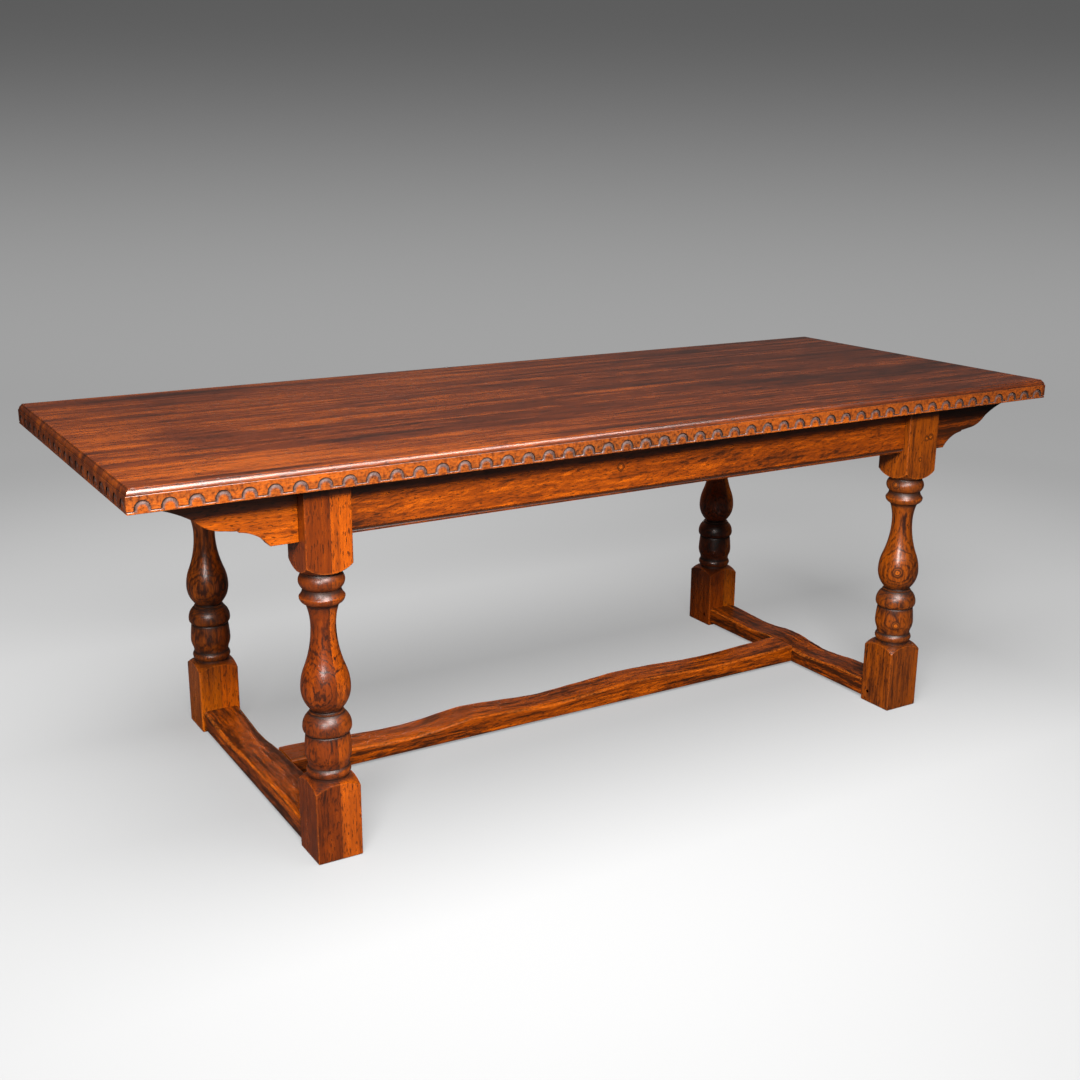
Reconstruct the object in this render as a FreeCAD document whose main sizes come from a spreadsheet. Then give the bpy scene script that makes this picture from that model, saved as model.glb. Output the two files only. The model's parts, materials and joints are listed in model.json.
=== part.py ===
"""Refectory table: a plank top on four turned legs, joined by rails, stretchers and brackets.

Millimetres. The origin is on the floor under the middle of the top, +X runs along the table,
+Y to its back and +Z up. Every length lives in the sheet "Sizes", and every sketch, pad and
hole is bound to it. Round work is drawn with flats, sixteen on the turned legs and eight on
the pegs, screws and their holes.
"""
import FreeCAD, Part
import math
import os
import Sketcher
from FreeCAD import Placement, Rotation, Vector

SIZES = {
    # the whole table
    "table_length": 2134,
    "table_width": 838,
    "table_height": 762,
    # top: four boards glued edge to edge; the back board takes what is left of the width
    "top_thick": 42,
    "board_front": 228,
    "board_mid_front": 206,
    "board_mid_back": 196,
    "tongue_thick": 10,
    "tongue_half": 13,
    "tongue_stop": 80,
    # moulding along the upper edge: insets from the face and depths below the surface
    "mould_inset": 7.7,
    "mould_bead_inset": 6.3,
    "mould_bead_depth": 1.8,
    "mould_quirk_inset": 5.4,
    "mould_quirk_depth": 3.0,
    "mould_ovolo_inset": 1.5,
    "mould_ovolo_depth": 10.4,
    "mould_foot_depth": 11.6,
    "mould_ovolo_bulge": 1.0,
    "edge_ease": 1.0,
    # legs: square blocks, each glued up from two pieces, with the glue line this far off centre
    "leg_block": 89,
    "leg_x": 716,
    "leg_y": 343.5,
    "leg_arris": 2.0,
    "leg_glue": 2.7,
    "foot_ease": 2.0,
    "turning_chord_rise": 1.0,
    # rails under the top
    "rail_height": 97,
    "rail_thick": 25,
    "rail_setback": 16,
    "rail_tenon_long": 38,
    "rail_tenon_thick": 9.5,
    "rail_tenon_foot": 12,
    "rail_haunch_high": 20,
    "rail_haunch_long": 12,
    "groove_top": 10,
    "groove_high": 9,
    "groove_deep": 9,
    "scratch_low": 2.6,
    "scratch_low_wide": 1.8,
    "scratch_high": 8.2,
    "scratch_high_wide": 2.4,
    "scratch_deep": 1.6,
    "rail_lip": 1.6,
    # pegs
    "peg_radius": 4,
    "peg_long": 74.5,
    "peg_inset": 19.5,
    "peg_low": 646,
    "peg_pitch": 32,
    "peg_shift": 13,
    # end brackets: distances out from the leg and drops below the underside of the top
    "bracket_thick": 30,
    "bracket_long": 246,
    "bracket_nose": 13,
    "bracket_sweep_out": 183,
    "bracket_sweep_drop": 41,
    "bracket_flat_out": 130,
    "bracket_flat_drop": 65.6,
    "bracket_notch_out": 109.5,
    "bracket_notch_drop": 68.4,
    "bracket_step": 3.0,
    "bracket_corner_out": 52,
    "bracket_drop": 103.5,
    "bracket_stub_long": 16,
    "bracket_stub_thick": 10,
    "bracket_stub_margin": 15,
    "bracket_screw_out": 190,
    "bracket_screw_seat": 30,
    # stretchers near the floor
    "stretcher_wide": 79,
    "stretcher_low": 8,
    "stretcher_arris": 3,
    "foot_tenon_long": 42,
    "foot_tenon_thick": 26,
    "foot_tenon_low": 14,
    "foot_tenon_high": 26,
    "foot_peg_inset": 21,
    "foot_peg_rise": 27,
    "foot_peg_long": 68.5,
    "cross_tenon_long": 30,
    "cross_tenon_wide": 40,
    "cross_tenon_high": 24,
    "cross_peg_inset": 15,
    "cross_peg_high": 33,
    # buttons that hold the top down, and their screws
    "button_long": 45,
    "button_wide": 35,
    "button_high": 24,
    "button_gap": 1,
    "button_tongue_long": 8,
    "button_tongue_high": 7,
    "button_bevel": 8,
    "button_screw_in": 24,
    "screw_radius": 2.25,
    "screw_head_radius": 4.5,
    "screw_head_high": 2.5,
    "button_screw_long": 38,
    "bracket_screw_long": 44,
    "button_pitch": 450,
}

# Turned part of a leg, from the foot block up: radius and height of each junction, and the
# bulge of the curve from there to the next one (0 is straight, minus is hollow).
TURNING = [
    ("foot_arris", 63.0, 140.5, 2.5),
    ("foot_crown", 36.5, 156.5, 0.0),
    ("foot_quirk", 36.5, 161.0, 4.7),
    ("foot_ring", 37.4, 180.0, -0.4),
    ("barrel_swell", 39.6, 191.0, 1.0),
    ("barrel_belly", 43.7, 209.5, 0.3),
    ("barrel_top", 40.6, 243.5, 0.0),
    ("bead_quirk", 39.6, 244.5, 1.8),
    ("bead_belly", 45.6, 257.0, 3.7),
    ("bead_top", 32.0, 284.5, 0.0),
    ("fillet_top", 32.3, 286.5, -1.0),
    ("neck", 26.9, 289.3, 4.9),
    ("bulb", 46.0, 332.4, 1.85),
    ("bulb_shoulder", 38.7, 371.0, -3.9),
    ("waist", 23.2, 452.0, -1.8),
    ("flare", 30.3, 490.0, 0.0),
    ("disc_foot", 31.8, 491.5, 1.8),
    ("disc_edge", 41.2, 507.5, 0.5),
    ("torus_quirk", 34.7, 522.0, 6.6),
    ("torus_top", 36.2, 552.5, 0.0),
    ("head_quirk", 36.2, 555.0, 2.35),
    ("head_arris", 63.0, 575.5, 0.0),
]

# Worn upper sides of the stretchers: share of the length from end to end, and height.
WEAR = {
    "stretcher_left": [(0, 49), (0.225, 53), (0.483, 49), (0.743, 39.5), (1, 49)],
    "stretcher_right": [(0, 48), (0.14, 48.5), (0.358, 40.5), (0.567, 50), (0.751, 42.5), (1, 47)],
    "stretcher_long": [(0, 50), (0.203, 40), (0.326, 51), (0.463, 41.5), (0.652, 51), (0.83, 43),
                       (0.945, 47), (1, 50)],
}

# Between two heights of wear the top eases over in three chords: share of the way, share of the rise.
WEAR_CHORDS = [(0, 0), (1 / 3, 1 / 4), (2 / 3, 3 / 4)]

TURNING_FLATS = 16
HOLE_FLATS = 8

SIDES = {"left": -1, "right": 1}
ENDS = {"front": -1, "back": 1}

doc = FreeCAD.newDocument("RefectoryTable")


class Size:
    """A length with the sheet expression that it comes from."""

    def __init__(self, value, text=None):
        self.value = float(value)
        self.text = text or f"({self.value!r})"

    def _with(self, other, sign, value):
        return Size(value, f"({self.text} {sign} {as_size(other).text})")

    def __add__(self, other):
        return self._with(other, "+", self.value + as_size(other).value)

    def __sub__(self, other):
        return self._with(other, "-", self.value - as_size(other).value)

    def __mul__(self, other):
        return self._with(other, "*", self.value * as_size(other).value)

    def __truediv__(self, other):
        return self._with(other, "/", self.value / as_size(other).value)

    def __neg__(self):
        return self * -1


def as_size(length):
    """A plain number as a Size."""
    return length if isinstance(length, Size) else Size(length)


def fill_sheet():
    """Write every driving length to the sheet and return them by name."""
    cells = dict(SIZES)
    for name, radius, height, bulge in TURNING:
        cells[f"{name}_radius"] = radius
        cells[f"{name}_height"] = height
        cells[f"{name}_bulge"] = bulge
    for name, stations in WEAR.items():
        for number, (_, height) in enumerate(stations):
            cells[f"{name}_wear_{number}"] = height
    sheet = doc.addObject("Spreadsheet::Sheet", "Sizes")
    for row, (name, value) in enumerate(cells.items(), start=1):
        sheet.set(f"A{row}", name)
        sheet.set(f"B{row}", str(value))
        sheet.setAlias(f"B{row}", name)
    doc.recompute()
    return {name: Size(value, f"Sizes.{name}") for name, value in cells.items()}


DIM = fill_sheet()
HALF_BLOCK = DIM["leg_block"] / 2
HALF_LENGTH = DIM["table_length"] / 2
HALF_WIDTH = DIM["table_width"] / 2
HALF_STRETCHER = DIM["stretcher_wide"] / 2
TOP_LOW = DIM["table_height"] - DIM["top_thick"]
RAIL_LOW = TOP_LOW - DIM["rail_height"]
RAIL_OFFSET = HALF_BLOCK - DIM["rail_setback"] - DIM["rail_thick"] / 2
HALF_RAIL_X = DIM["leg_x"] - HALF_BLOCK
HALF_RAIL_Y = DIM["leg_y"] - HALF_BLOCK
HALF_STRETCHER_LONG = DIM["leg_x"] - HALF_STRETCHER


# ---------------------------------------------------------------- helpers

def bind(thing, **lengths):
    """Give properties of an object their values and their sheet expressions."""
    for name, length in lengths.items():
        setattr(thing, name, as_size(length).value)
        thing.setExpression(name, as_size(length).text)


def put(thing, x, y, z, turn=None):
    """Place an object at a point, with an optional rotation."""
    base = [as_size(length) for length in (x, y, z)]
    thing.Placement = Placement(Vector(*[length.value for length in base]), turn or Rotation())
    for axis, length in zip("xyz", base):
        thing.setExpression(f"Placement.Base.{axis}", length.text)


def turned(angle):
    """A rotation about the vertical."""
    return Rotation(Vector(0, 0, 1), angle)


def new_body(label):
    """An empty body for one piece of the table."""
    body = doc.addObject("PartDesign::Body", label)
    body.Label = label
    return body


def plane(body, role):
    """One of a body's own origin planes."""
    return next(item for item in body.Origin.OriginFeatures if item.Role == role)


def new_sketch(body, name, role):
    """A sketch on one of the body's origin planes."""
    sketch = body.newObject("Sketcher::SketchObject", name)
    sketch.AttachmentSupport = [(plane(body, role), "")]
    sketch.MapMode = "FlatFace"
    return sketch


def constrain(sketch, kind, target, size):
    """Add a driving dimension bound to the sheet."""
    index = sketch.addConstraint(Sketcher.Constraint(kind, *target, size.value))
    sketch.setExpression(f"Constraints[{index}]", size.text)


def draw(sketch, corners):
    """Close an outline through (across, up, bulge) corners.

    A bulge above zero bows the edge to the right of its way to the next corner, one below
    zero to the left, and no bulge leaves it straight.
    """
    corners = [tuple(as_size(length) for length in corner) for corner in corners]
    ends = []
    for (across, up, bulge), (next_across, next_up, _) in zip(corners, corners[1:] + corners[:1]):
        start = Vector(across.value, up.value, 0)
        stop = Vector(next_across.value, next_up.value, 0)
        if bulge.value == 0:
            edge = sketch.addGeometry(Part.LineSegment(start, stop))
            ends.append((edge, 1, 2))
            continue
        run = stop - start
        aside = Vector(run.y, -run.x, 0).normalize()
        middle = (start + stop) / 2 + aside * bulge.value
        edge = sketch.addGeometry(Part.Arc(start, middle, stop))
        ends.append((edge, 1, 2) if bulge.value > 0 else (edge, 2, 1))
        chord = (next_across - across) * (next_across - across) + (next_up - up) * (next_up - up)
        side = 1 if bulge.value > 0 else -1
        constrain(sketch, "Radius", (edge,), (chord / 4 + bulge * bulge) / (bulge * 2 * side))
    for (across, up, _), (edge, first, _), (last_edge, _, last) in zip(corners, ends, ends[-1:] + ends):
        sketch.addConstraint(Sketcher.Constraint("Coincident", last_edge, last, edge, first))
        constrain(sketch, "DistanceX", (-1, 1, edge, first), across)
        constrain(sketch, "DistanceY", (-1, 1, edge, first), up)


def pad(body, sketch, length, both_ways=False):
    """Raise a sketch to a solid."""
    solid = body.newObject("PartDesign::Pad", "Pad")
    solid.Profile = sketch
    if both_ways:
        solid.SideType = "Symmetric"
    bind(solid, Length=length)
    return solid


def box(body, kind, low, high):
    """Add (Additive) or cut away (Subtractive) a box between two corners."""
    low = [as_size(length) for length in low]
    high = [as_size(length) for length in high]
    block = body.newObject(f"PartDesign::{kind}Box", f"{kind}Box")
    across, deep, tall = [after - before for before, after in zip(low, high)]
    bind(block, Length=across, Width=deep, Height=tall)
    put(block, *low)
    return block


def rod(prism, start, length, axis, radius):
    """Size and place a prism: the eight-sided stand-in for a round rod along an axis."""
    prism.Polygon = HOLE_FLATS
    bind(prism, Circumradius=radius, Height=length)
    put(prism, *start, turn=Rotation(Vector(0, 0, 1), Vector(*axis)))
    return prism


def bore(body, start, length, axis, radius):
    """Cut a hole from a point along an axis."""
    return rod(body.newObject("PartDesign::SubtractivePrism", "Bore"), start, length, axis, radius)


def along(side, near, far):
    """Both ends of a stretch from near to far on one side of the middle, low end first."""
    near, far = as_size(near) * side, as_size(far) * side
    return (near, far) if near.value < far.value else (far, near)


# ---------------------------------------------------------------- top

def moulded_edge(face, inward):
    """Corners of the moulding from the surface down to the underside of the top."""
    high = DIM["table_height"]
    ease = DIM["edge_ease"]
    steps = [
        (DIM["mould_inset"], 0, 0),
        (DIM["mould_bead_inset"], DIM["mould_bead_depth"], 0),
        (DIM["mould_quirk_inset"], DIM["mould_quirk_depth"], DIM["mould_ovolo_bulge"]),
        (DIM["mould_ovolo_inset"], DIM["mould_ovolo_depth"], 0),
        (DIM["mould_ovolo_inset"], DIM["mould_foot_depth"], 0),
        (0, DIM["mould_foot_depth"], 0),
        (0, DIM["top_thick"] - ease, 0),
        (ease, DIM["top_thick"], 0),
    ]
    return [(face + as_size(inset) * inward, high - as_size(drop), as_size(bulge) * inward)
            for inset, drop, bulge in steps]


def board_section(low, high, moulded):
    """Section of a board between two edges; moulded is the side with the table's edge, or 0."""
    if moulded == 0:
        return [(low, TOP_LOW, 0), (high, TOP_LOW, 0), (high, DIM["table_height"], 0),
                (low, DIM["table_height"], 0)]
    face, joint = (low, high) if moulded < 0 else (high, low)
    return [(joint, TOP_LOW, 0), (joint, DIM["table_height"], 0)] + moulded_edge(face, -moulded)


def mould_ends(body):
    """Cut the moulding across both ends of a board, mitred where it meets the long edges."""
    clear = DIM["mould_inset"]
    waste = new_sketch(body, "EndWaste", "XZ_Plane")
    profile = moulded_edge(HALF_LENGTH, -1)
    outside = [(HALF_LENGTH + clear, TOP_LOW - clear, 0),
               (HALF_LENGTH + clear, DIM["table_height"] + clear, 0),
               (HALF_LENGTH - DIM["mould_inset"], DIM["table_height"] + clear, 0)]
    foot = [(HALF_LENGTH - DIM["edge_ease"], TOP_LOW - clear, 0)]
    draw(waste, profile + foot + outside)
    cut = body.newObject("PartDesign::Pocket", "EndMoulding")
    cut.Profile = waste
    cut.SideType = "Symmetric"
    cut.Type = "ThroughAll"
    mirror = body.newObject("PartDesign::Mirrored", "BothEnds")
    mirror.Originals = [cut]
    mirror.MirrorPlane = (plane(body, "YZ_Plane"), [""])
    body.Tip = mirror


def top_board(label, low, high, moulded, screws):
    """One board of the top with its tongue grooves and its blind screw holes."""
    body = new_body(label)
    section = new_sketch(body, "Section", "YZ_Plane")
    draw(section, board_section(low, high, moulded))
    pad(body, section, DIM["table_length"], both_ways=True)
    mould_ends(body)
    middle = TOP_LOW + DIM["top_thick"] / 2
    half_run = HALF_LENGTH - DIM["tongue_stop"]
    half_thick = DIM["tongue_thick"] / 2
    if moulded >= 0:
        box(body, "Subtractive", (-half_run, low, middle - half_thick),
            (half_run, low + DIM["tongue_half"], middle + half_thick))
    if moulded <= 0:
        box(body, "Subtractive", (-half_run, high - DIM["tongue_half"], middle - half_thick),
            (half_run, high, middle + half_thick))
    for across, deep, length in screws:
        if low.value < deep.value < high.value:
            bore(body, (across, deep, TOP_LOW), length, (0, 0, 1), DIM["screw_radius"])
    return body


def top_tongues(joints):
    """The loose tongues that line up the boards, one in each edge joint."""
    strips = []
    half_run = HALF_LENGTH - DIM["tongue_stop"]
    for joint in joints:
        strip = doc.addObject("Part::Box", "Tongue")
        bind(strip, Length=half_run * 2, Width=DIM["tongue_half"] * 2, Height=DIM["tongue_thick"])
        put(strip, -half_run, joint - DIM["tongue_half"],
            TOP_LOW + DIM["top_thick"] / 2 - DIM["tongue_thick"] / 2)
        strips.append(strip)
    return group("top_tongues", strips)


# ---------------------------------------------------------------- legs

def leg_section(side):
    """Section of the half of a leg on one side of its glue line."""
    edge = HALF_BLOCK
    flat = HALF_BLOCK - DIM["leg_arris"]
    return [(DIM["leg_glue"], edge * side, 0), (DIM["leg_glue"], edge * -side, 0),
            (flat * side, edge * -side, 0), (edge * side, flat * -side, 0),
            (edge * side, flat * side, 0), (flat * side, edge * side, 0)]


def turning_profile():
    """Radius and height of each ring of the turning, from the floor to the top of the leg.

    A curve is the parabola through its two junctions and the top of its bulge. It is split into
    equal chords, as many as keep each chord within "turning_chord_rise" of the curve.
    """
    sizes = doc.Sizes
    stations = [[sizes.get(f"{name}_{part}") for part in ("radius", "height", "bulge")]
                for name, *_ in TURNING]
    profile = [(stations[0][0], 0)]
    for (radius, height, bulge), (next_radius, next_height, _) in zip(stations, stations[1:]):
        start = Vector(radius, height, 0)
        run = Vector(next_radius, next_height, 0) - start
        outward = Vector(run.y, -run.x, 0).normalize()
        chords = max(1, math.ceil(math.sqrt(abs(bulge) / sizes.turning_chord_rise)))
        for step in range(chords):
            share = step / chords
            point = start + run * share + outward * (4 * bulge * share * (1 - share))
            profile.append((point.x, point.y))
    head_radius, head_height, _ = stations[-1]
    return profile + [(head_radius, head_height), (head_radius, TOP_LOW.value)]


def turning_form():
    """The lathe's form of a leg as one solid of rings, wide enough at both blocks to clear them."""
    turns = [math.tau * flat / TURNING_FLATS for flat in range(TURNING_FLATS + 1)]
    rings = [[Vector(radius * math.cos(turn), radius * math.sin(turn), height) for turn in turns]
             for radius, height in turning_profile()]
    faces = [Part.Face(Part.makePolygon(ring)) for ring in (rings[0], rings[-1])]
    for lower, upper in zip(rings, rings[1:]):
        for flat in range(TURNING_FLATS):
            near, far = lower[flat], lower[flat + 1]
            faces.append(Part.Face(Part.makePolygon([near, far, upper[flat + 1], upper[flat], near])))
    form = doc.addObject("Part::Feature", "TurningForm")
    form.Shape = Part.makeSolid(Part.makeShell(faces))
    return form


def leg_blank(half, form):
    """Half of a bare leg: the squared and bevelled piece on one side of the glue line, turned."""
    square = new_body("leg_square")
    section = new_sketch(square, "Section", "XY_Plane")
    draw(section, leg_section(half))
    pad(square, section, TOP_LOW)
    ease_foot(square)
    blank = doc.addObject("Part::Common", "LegBlank")
    blank.Base = square
    blank.Tool = form
    return blank


def leg_mortises(side, end):
    """Mortises of a leg as (low, high) corners, in the leg's own frame.

    The rails enter the two inner faces, the bracket's stub enters the outer face and the
    end stretcher the inner face that looks along the end of the table.
    """
    half_tenon = DIM["rail_tenon_thick"] / 2
    tenon_end = HALF_BLOCK - DIM["rail_tenon_long"]
    haunch_end = HALF_BLOCK - DIM["rail_haunch_long"]
    low = RAIL_LOW + DIM["rail_tenon_foot"]
    high = TOP_LOW - DIM["rail_haunch_high"]
    long_y = along(end, RAIL_OFFSET - half_tenon, RAIL_OFFSET + half_tenon)
    short_x = along(side, RAIL_OFFSET - half_tenon, RAIL_OFFSET + half_tenon)
    cuts = []
    for depth, foot, head in ((tenon_end, low, high), (haunch_end, high, TOP_LOW)):
        long_x = along(-side, depth, HALF_BLOCK)
        short_y = along(-end, depth, HALF_BLOCK)
        cuts.append(((long_x[0], long_y[0], foot), (long_x[1], long_y[1], head)))
        cuts.append(((short_x[0], short_y[0], foot), (short_x[1], short_y[1], head)))
    stub_x = along(side, HALF_BLOCK - DIM["bracket_stub_long"], HALF_BLOCK)
    half_stub = DIM["bracket_stub_thick"] / 2
    margin = DIM["bracket_stub_margin"]
    cuts.append(((stub_x[0], -half_stub, TOP_LOW - DIM["bracket_drop"] + margin),
                 (stub_x[1], half_stub, TOP_LOW - margin)))
    foot_y = along(-end, HALF_BLOCK - DIM["foot_tenon_long"], HALF_BLOCK)
    half_foot = DIM["foot_tenon_thick"] / 2
    cuts.append(((-half_foot, foot_y[0], DIM["foot_tenon_low"]),
                 (half_foot, foot_y[1], DIM["foot_tenon_low"] + DIM["foot_tenon_high"])))
    return cuts


def leg_peg_holes(side, end):
    """Peg holes of a leg as (start, length, axis), in the leg's own frame."""
    inset = HALF_BLOCK - DIM["peg_inset"]
    holes = []
    for row in range(2):
        height = DIM["peg_low"] + DIM["peg_pitch"] * row
        holes.append(((inset * -side, HALF_BLOCK * -end, height), DIM["peg_long"], (0, end, 0)))
        holes.append(((HALF_BLOCK * -side, inset * -end, height + DIM["peg_shift"]),
                      DIM["peg_long"], (side, 0, 0)))
    foot_inset = HALF_BLOCK - DIM["foot_peg_inset"]
    holes.append(((HALF_BLOCK * -side, foot_inset * -end, DIM["foot_peg_rise"]),
                  DIM["foot_peg_long"], (side, 0, 0)))
    return holes


def reaches(start, length, axis, half):
    """Whether a hole meets the half of a leg left (-1) or right (1) of the glue line."""
    ends = [start[0].value, start[0].value + axis[0] * length.value]
    glue = DIM["leg_glue"].value
    return min(ends) < glue if half < 0 else max(ends) > glue


def leg_half(label, side, end, half, blank):
    """Half of a leg: a turned blank with the joints that reach into it."""
    body = new_body(label)
    body.BaseFeature = blank
    for low, high in leg_mortises(side, end):
        if reaches((low[0],), high[0] - low[0], (1,), half):
            box(body, "Subtractive", low, high)
    for start, length, axis in leg_peg_holes(side, end):
        if reaches(start, length, axis, half):
            bore(body, start, length, axis, DIM["peg_radius"])
    put(body, DIM["leg_x"] * side, DIM["leg_y"] * end, 0)
    return body


def ease_foot(body):
    """Bevel the outer edges under the foot, so that the leg slides without splintering."""
    doc.recompute()
    last = body.Tip
    glue = DIM["leg_glue"].value
    names = []
    for number, edge in enumerate(last.Shape.Edges, start=1):
        limits = edge.BoundBox
        if limits.ZMax < 0.01 and not (abs(limits.XMin - glue) < 0.01 and limits.XLength < 0.01):
            names.append(f"Edge{number}")
    bevel = body.newObject("PartDesign::Chamfer", "FootEase")
    bevel.Base = (last, names)
    bind(bevel, Size=DIM["foot_ease"])


# ---------------------------------------------------------------- rails

def rail_section():
    """Section of a rail: scratched bead low on the outer face, button groove in the inner."""
    outer = DIM["rail_thick"] / -2
    inner = DIM["rail_thick"] / 2
    deep = outer + DIM["scratch_deep"]
    lip = DIM["rail_lip"]
    groove_high = TOP_LOW - DIM["groove_top"]
    groove_low = groove_high - DIM["groove_high"]
    section = [(inner, RAIL_LOW, 0), (inner, groove_low, 0), (inner - DIM["groove_deep"], groove_low, 0),
               (inner - DIM["groove_deep"], groove_high, 0), (inner, groove_high, 0),
               (inner, TOP_LOW, 0), (outer, TOP_LOW, 0)]
    for rise, wide in (("scratch_high", "scratch_high_wide"), ("scratch_low", "scratch_low_wide")):
        low = RAIL_LOW + DIM[rise]
        section += [(outer, low + DIM[wide], 0), (deep, low + DIM[wide] / 2, 0), (outer, low, 0)]
    return section + [(outer, RAIL_LOW + lip, 0), (outer + lip, RAIL_LOW, 0)]


def rail(label, half_run, across, deep, turn, peg_rise):
    """A rail with a haunched tenon at each end, drilled for two pegs."""
    body = new_body(label)
    section = new_sketch(body, "Section", "YZ_Plane")
    draw(section, rail_section())
    pad(body, section, half_run * 2, both_ways=True)
    half_tenon = DIM["rail_tenon_thick"] / 2
    high = TOP_LOW - DIM["rail_haunch_high"]
    for side in SIDES.values():
        tenon = along(side, half_run, half_run + DIM["rail_tenon_long"])
        haunch = along(side, half_run, half_run + DIM["rail_haunch_long"])
        box(body, "Additive", (tenon[0], -half_tenon, RAIL_LOW + DIM["rail_tenon_foot"]),
            (tenon[1], half_tenon, high))
        box(body, "Additive", (haunch[0], -half_tenon, high), (haunch[1], half_tenon, TOP_LOW))
        for row in range(2):
            bore(body, ((half_run + DIM["peg_inset"]) * side, -half_tenon,
                        peg_rise + DIM["peg_pitch"] * row),
                 half_tenon * 2, (0, 1, 0), DIM["peg_radius"])
    put(body, across, deep, 0, turned(turn))
    return body


# ---------------------------------------------------------------- brackets

def bracket_outline():
    """Outline of a bracket: distance out from the leg and height, seen from the side."""
    steps = [
        (0, 0, 0),
        (DIM["bracket_long"], 0, 0),
        (DIM["bracket_long"], DIM["bracket_nose"], -2.8),
        (DIM["bracket_sweep_out"], DIM["bracket_sweep_drop"], 5.8),
        (DIM["bracket_flat_out"], DIM["bracket_flat_drop"], 0.4),
        (DIM["bracket_notch_out"], DIM["bracket_notch_drop"], 0),
        (DIM["bracket_notch_out"] - DIM["bracket_step"],
         DIM["bracket_notch_drop"] + DIM["bracket_step"], -6.9),
        (DIM["bracket_corner_out"], DIM["bracket_drop"], 0),
        (0, DIM["bracket_drop"], 0),
    ]
    return [(as_size(out), TOP_LOW - drop, as_size(bulge)) for out, drop, bulge in steps]


def bracket(label, side, end):
    """An ogee bracket under the overhang of the top, with its stub tenon and screw hole."""
    body = new_body(label)
    outline = new_sketch(body, "Outline", "XZ_Plane")
    draw(outline, [(out * side, up, bulge * -side) for out, up, bulge in bracket_outline()])
    pad(body, outline, DIM["bracket_thick"], both_ways=True)
    half_stub = DIM["bracket_stub_thick"] / 2
    margin = DIM["bracket_stub_margin"]
    stub = along(side, -DIM["bracket_stub_long"], 0)
    box(body, "Additive", (stub[0], -half_stub, TOP_LOW - DIM["bracket_drop"] + margin),
        (stub[1], half_stub, TOP_LOW - margin))
    seat = TOP_LOW - DIM["bracket_screw_seat"]
    screw_x = DIM["bracket_screw_out"] * side
    bore(body, (screw_x, Size(0), seat - DIM["bracket_nose"]), DIM["bracket_nose"] + DIM["screw_head_high"],
         (0, 0, 1), DIM["screw_head_radius"])
    bore(body, (screw_x, Size(0), seat), DIM["bracket_screw_seat"], (0, 0, 1), DIM["screw_radius"])
    put(body, (DIM["leg_x"] + HALF_BLOCK) * side, DIM["leg_y"] * end, 0)
    return body


# ---------------------------------------------------------------- stretchers

def worn_top(label, half_run):
    """Corners along the worn upper side of a stretcher, from its right end to its left."""
    stations = [(half_run * (2 * share - 1), DIM[f"{label}_wear_{number}"])
                for number, (share, _) in enumerate(WEAR[label])]
    corners = []
    for (across, up), (next_across, next_up) in zip(stations, stations[1:]):
        for way, rise in WEAR_CHORDS:
            corners.append((across + (next_across - across) * way, up + (next_up - up) * rise, 0))
    corners.append((*stations[-1], 0))
    return corners[::-1]


def worn_bar(label, half_run):
    """A stretcher without its joints: flat below, worn to waves above, arrises rubbed off."""
    body = new_body(label)
    outline = new_sketch(body, "Outline", "XZ_Plane")
    low = DIM["stretcher_low"]
    draw(outline, [(-half_run, low, 0), (half_run, low, 0)] + worn_top(label, half_run))
    bar = pad(body, outline, DIM["stretcher_wide"], both_ways=True)
    doc.recompute()
    half_wide = HALF_STRETCHER.value
    arrises = [f"Edge{number}" for number, edge in enumerate(bar.Shape.Edges, start=1)
               if edge.BoundBox.ZMin > low.value and edge.BoundBox.XLength > 1 and edge.BoundBox.YLength < 1
               and abs(abs(edge.BoundBox.Center.y) - half_wide) < 1]
    rubbed = body.newObject("PartDesign::Chamfer", "RubbedArrises")
    rubbed.Base = (bar, arrises)
    bind(rubbed, Size=DIM["stretcher_arris"])
    return body


def end_stretcher(label, side):
    """A stretcher between the two legs of one end, mortised for the long stretcher."""
    body = worn_bar(label, HALF_RAIL_Y)
    half_thick = DIM["foot_tenon_thick"] / 2
    low = DIM["foot_tenon_low"]
    for end in ENDS.values():
        tenon = along(end, HALF_RAIL_Y, HALF_RAIL_Y + DIM["foot_tenon_long"])
        box(body, "Additive", (tenon[0], -half_thick, low),
            (tenon[1], half_thick, low + DIM["foot_tenon_high"]))
        bore(body, ((HALF_RAIL_Y + DIM["foot_peg_inset"]) * end, -half_thick, DIM["foot_peg_rise"]),
             half_thick * 2, (0, 1, 0), DIM["peg_radius"])
    mortise = along(side, HALF_STRETCHER - DIM["cross_tenon_long"], HALF_STRETCHER)
    half_wide = DIM["cross_tenon_wide"] / 2
    box(body, "Subtractive", (-half_wide, mortise[0], low),
        (half_wide, mortise[1], low + DIM["cross_tenon_high"]))
    peg_y = (HALF_STRETCHER - DIM["cross_peg_inset"]) * side
    bore(body, (Size(0), peg_y, DIM["stretcher_low"]), DIM["cross_peg_high"], (0, 0, 1),
         DIM["peg_radius"])
    put(body, DIM["leg_x"] * side, 0, 0, turned(90))
    return body


def long_stretcher(label):
    """The stretcher from end to end, tenoned into the end stretchers."""
    body = worn_bar(label, HALF_STRETCHER_LONG)
    low = DIM["foot_tenon_low"]
    half_wide = DIM["cross_tenon_wide"] / 2
    for side in SIDES.values():
        tenon = along(side, HALF_STRETCHER_LONG, HALF_STRETCHER_LONG + DIM["cross_tenon_long"])
        box(body, "Additive", (tenon[0], -half_wide, low),
            (tenon[1], half_wide, low + DIM["cross_tenon_high"]))
        bore(body, ((HALF_STRETCHER_LONG + DIM["cross_peg_inset"]) * side, Size(0), low),
             DIM["cross_tenon_high"], (0, 0, 1), DIM["peg_radius"])
    return body


# ---------------------------------------------------------------- pegs, buttons and screws

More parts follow.
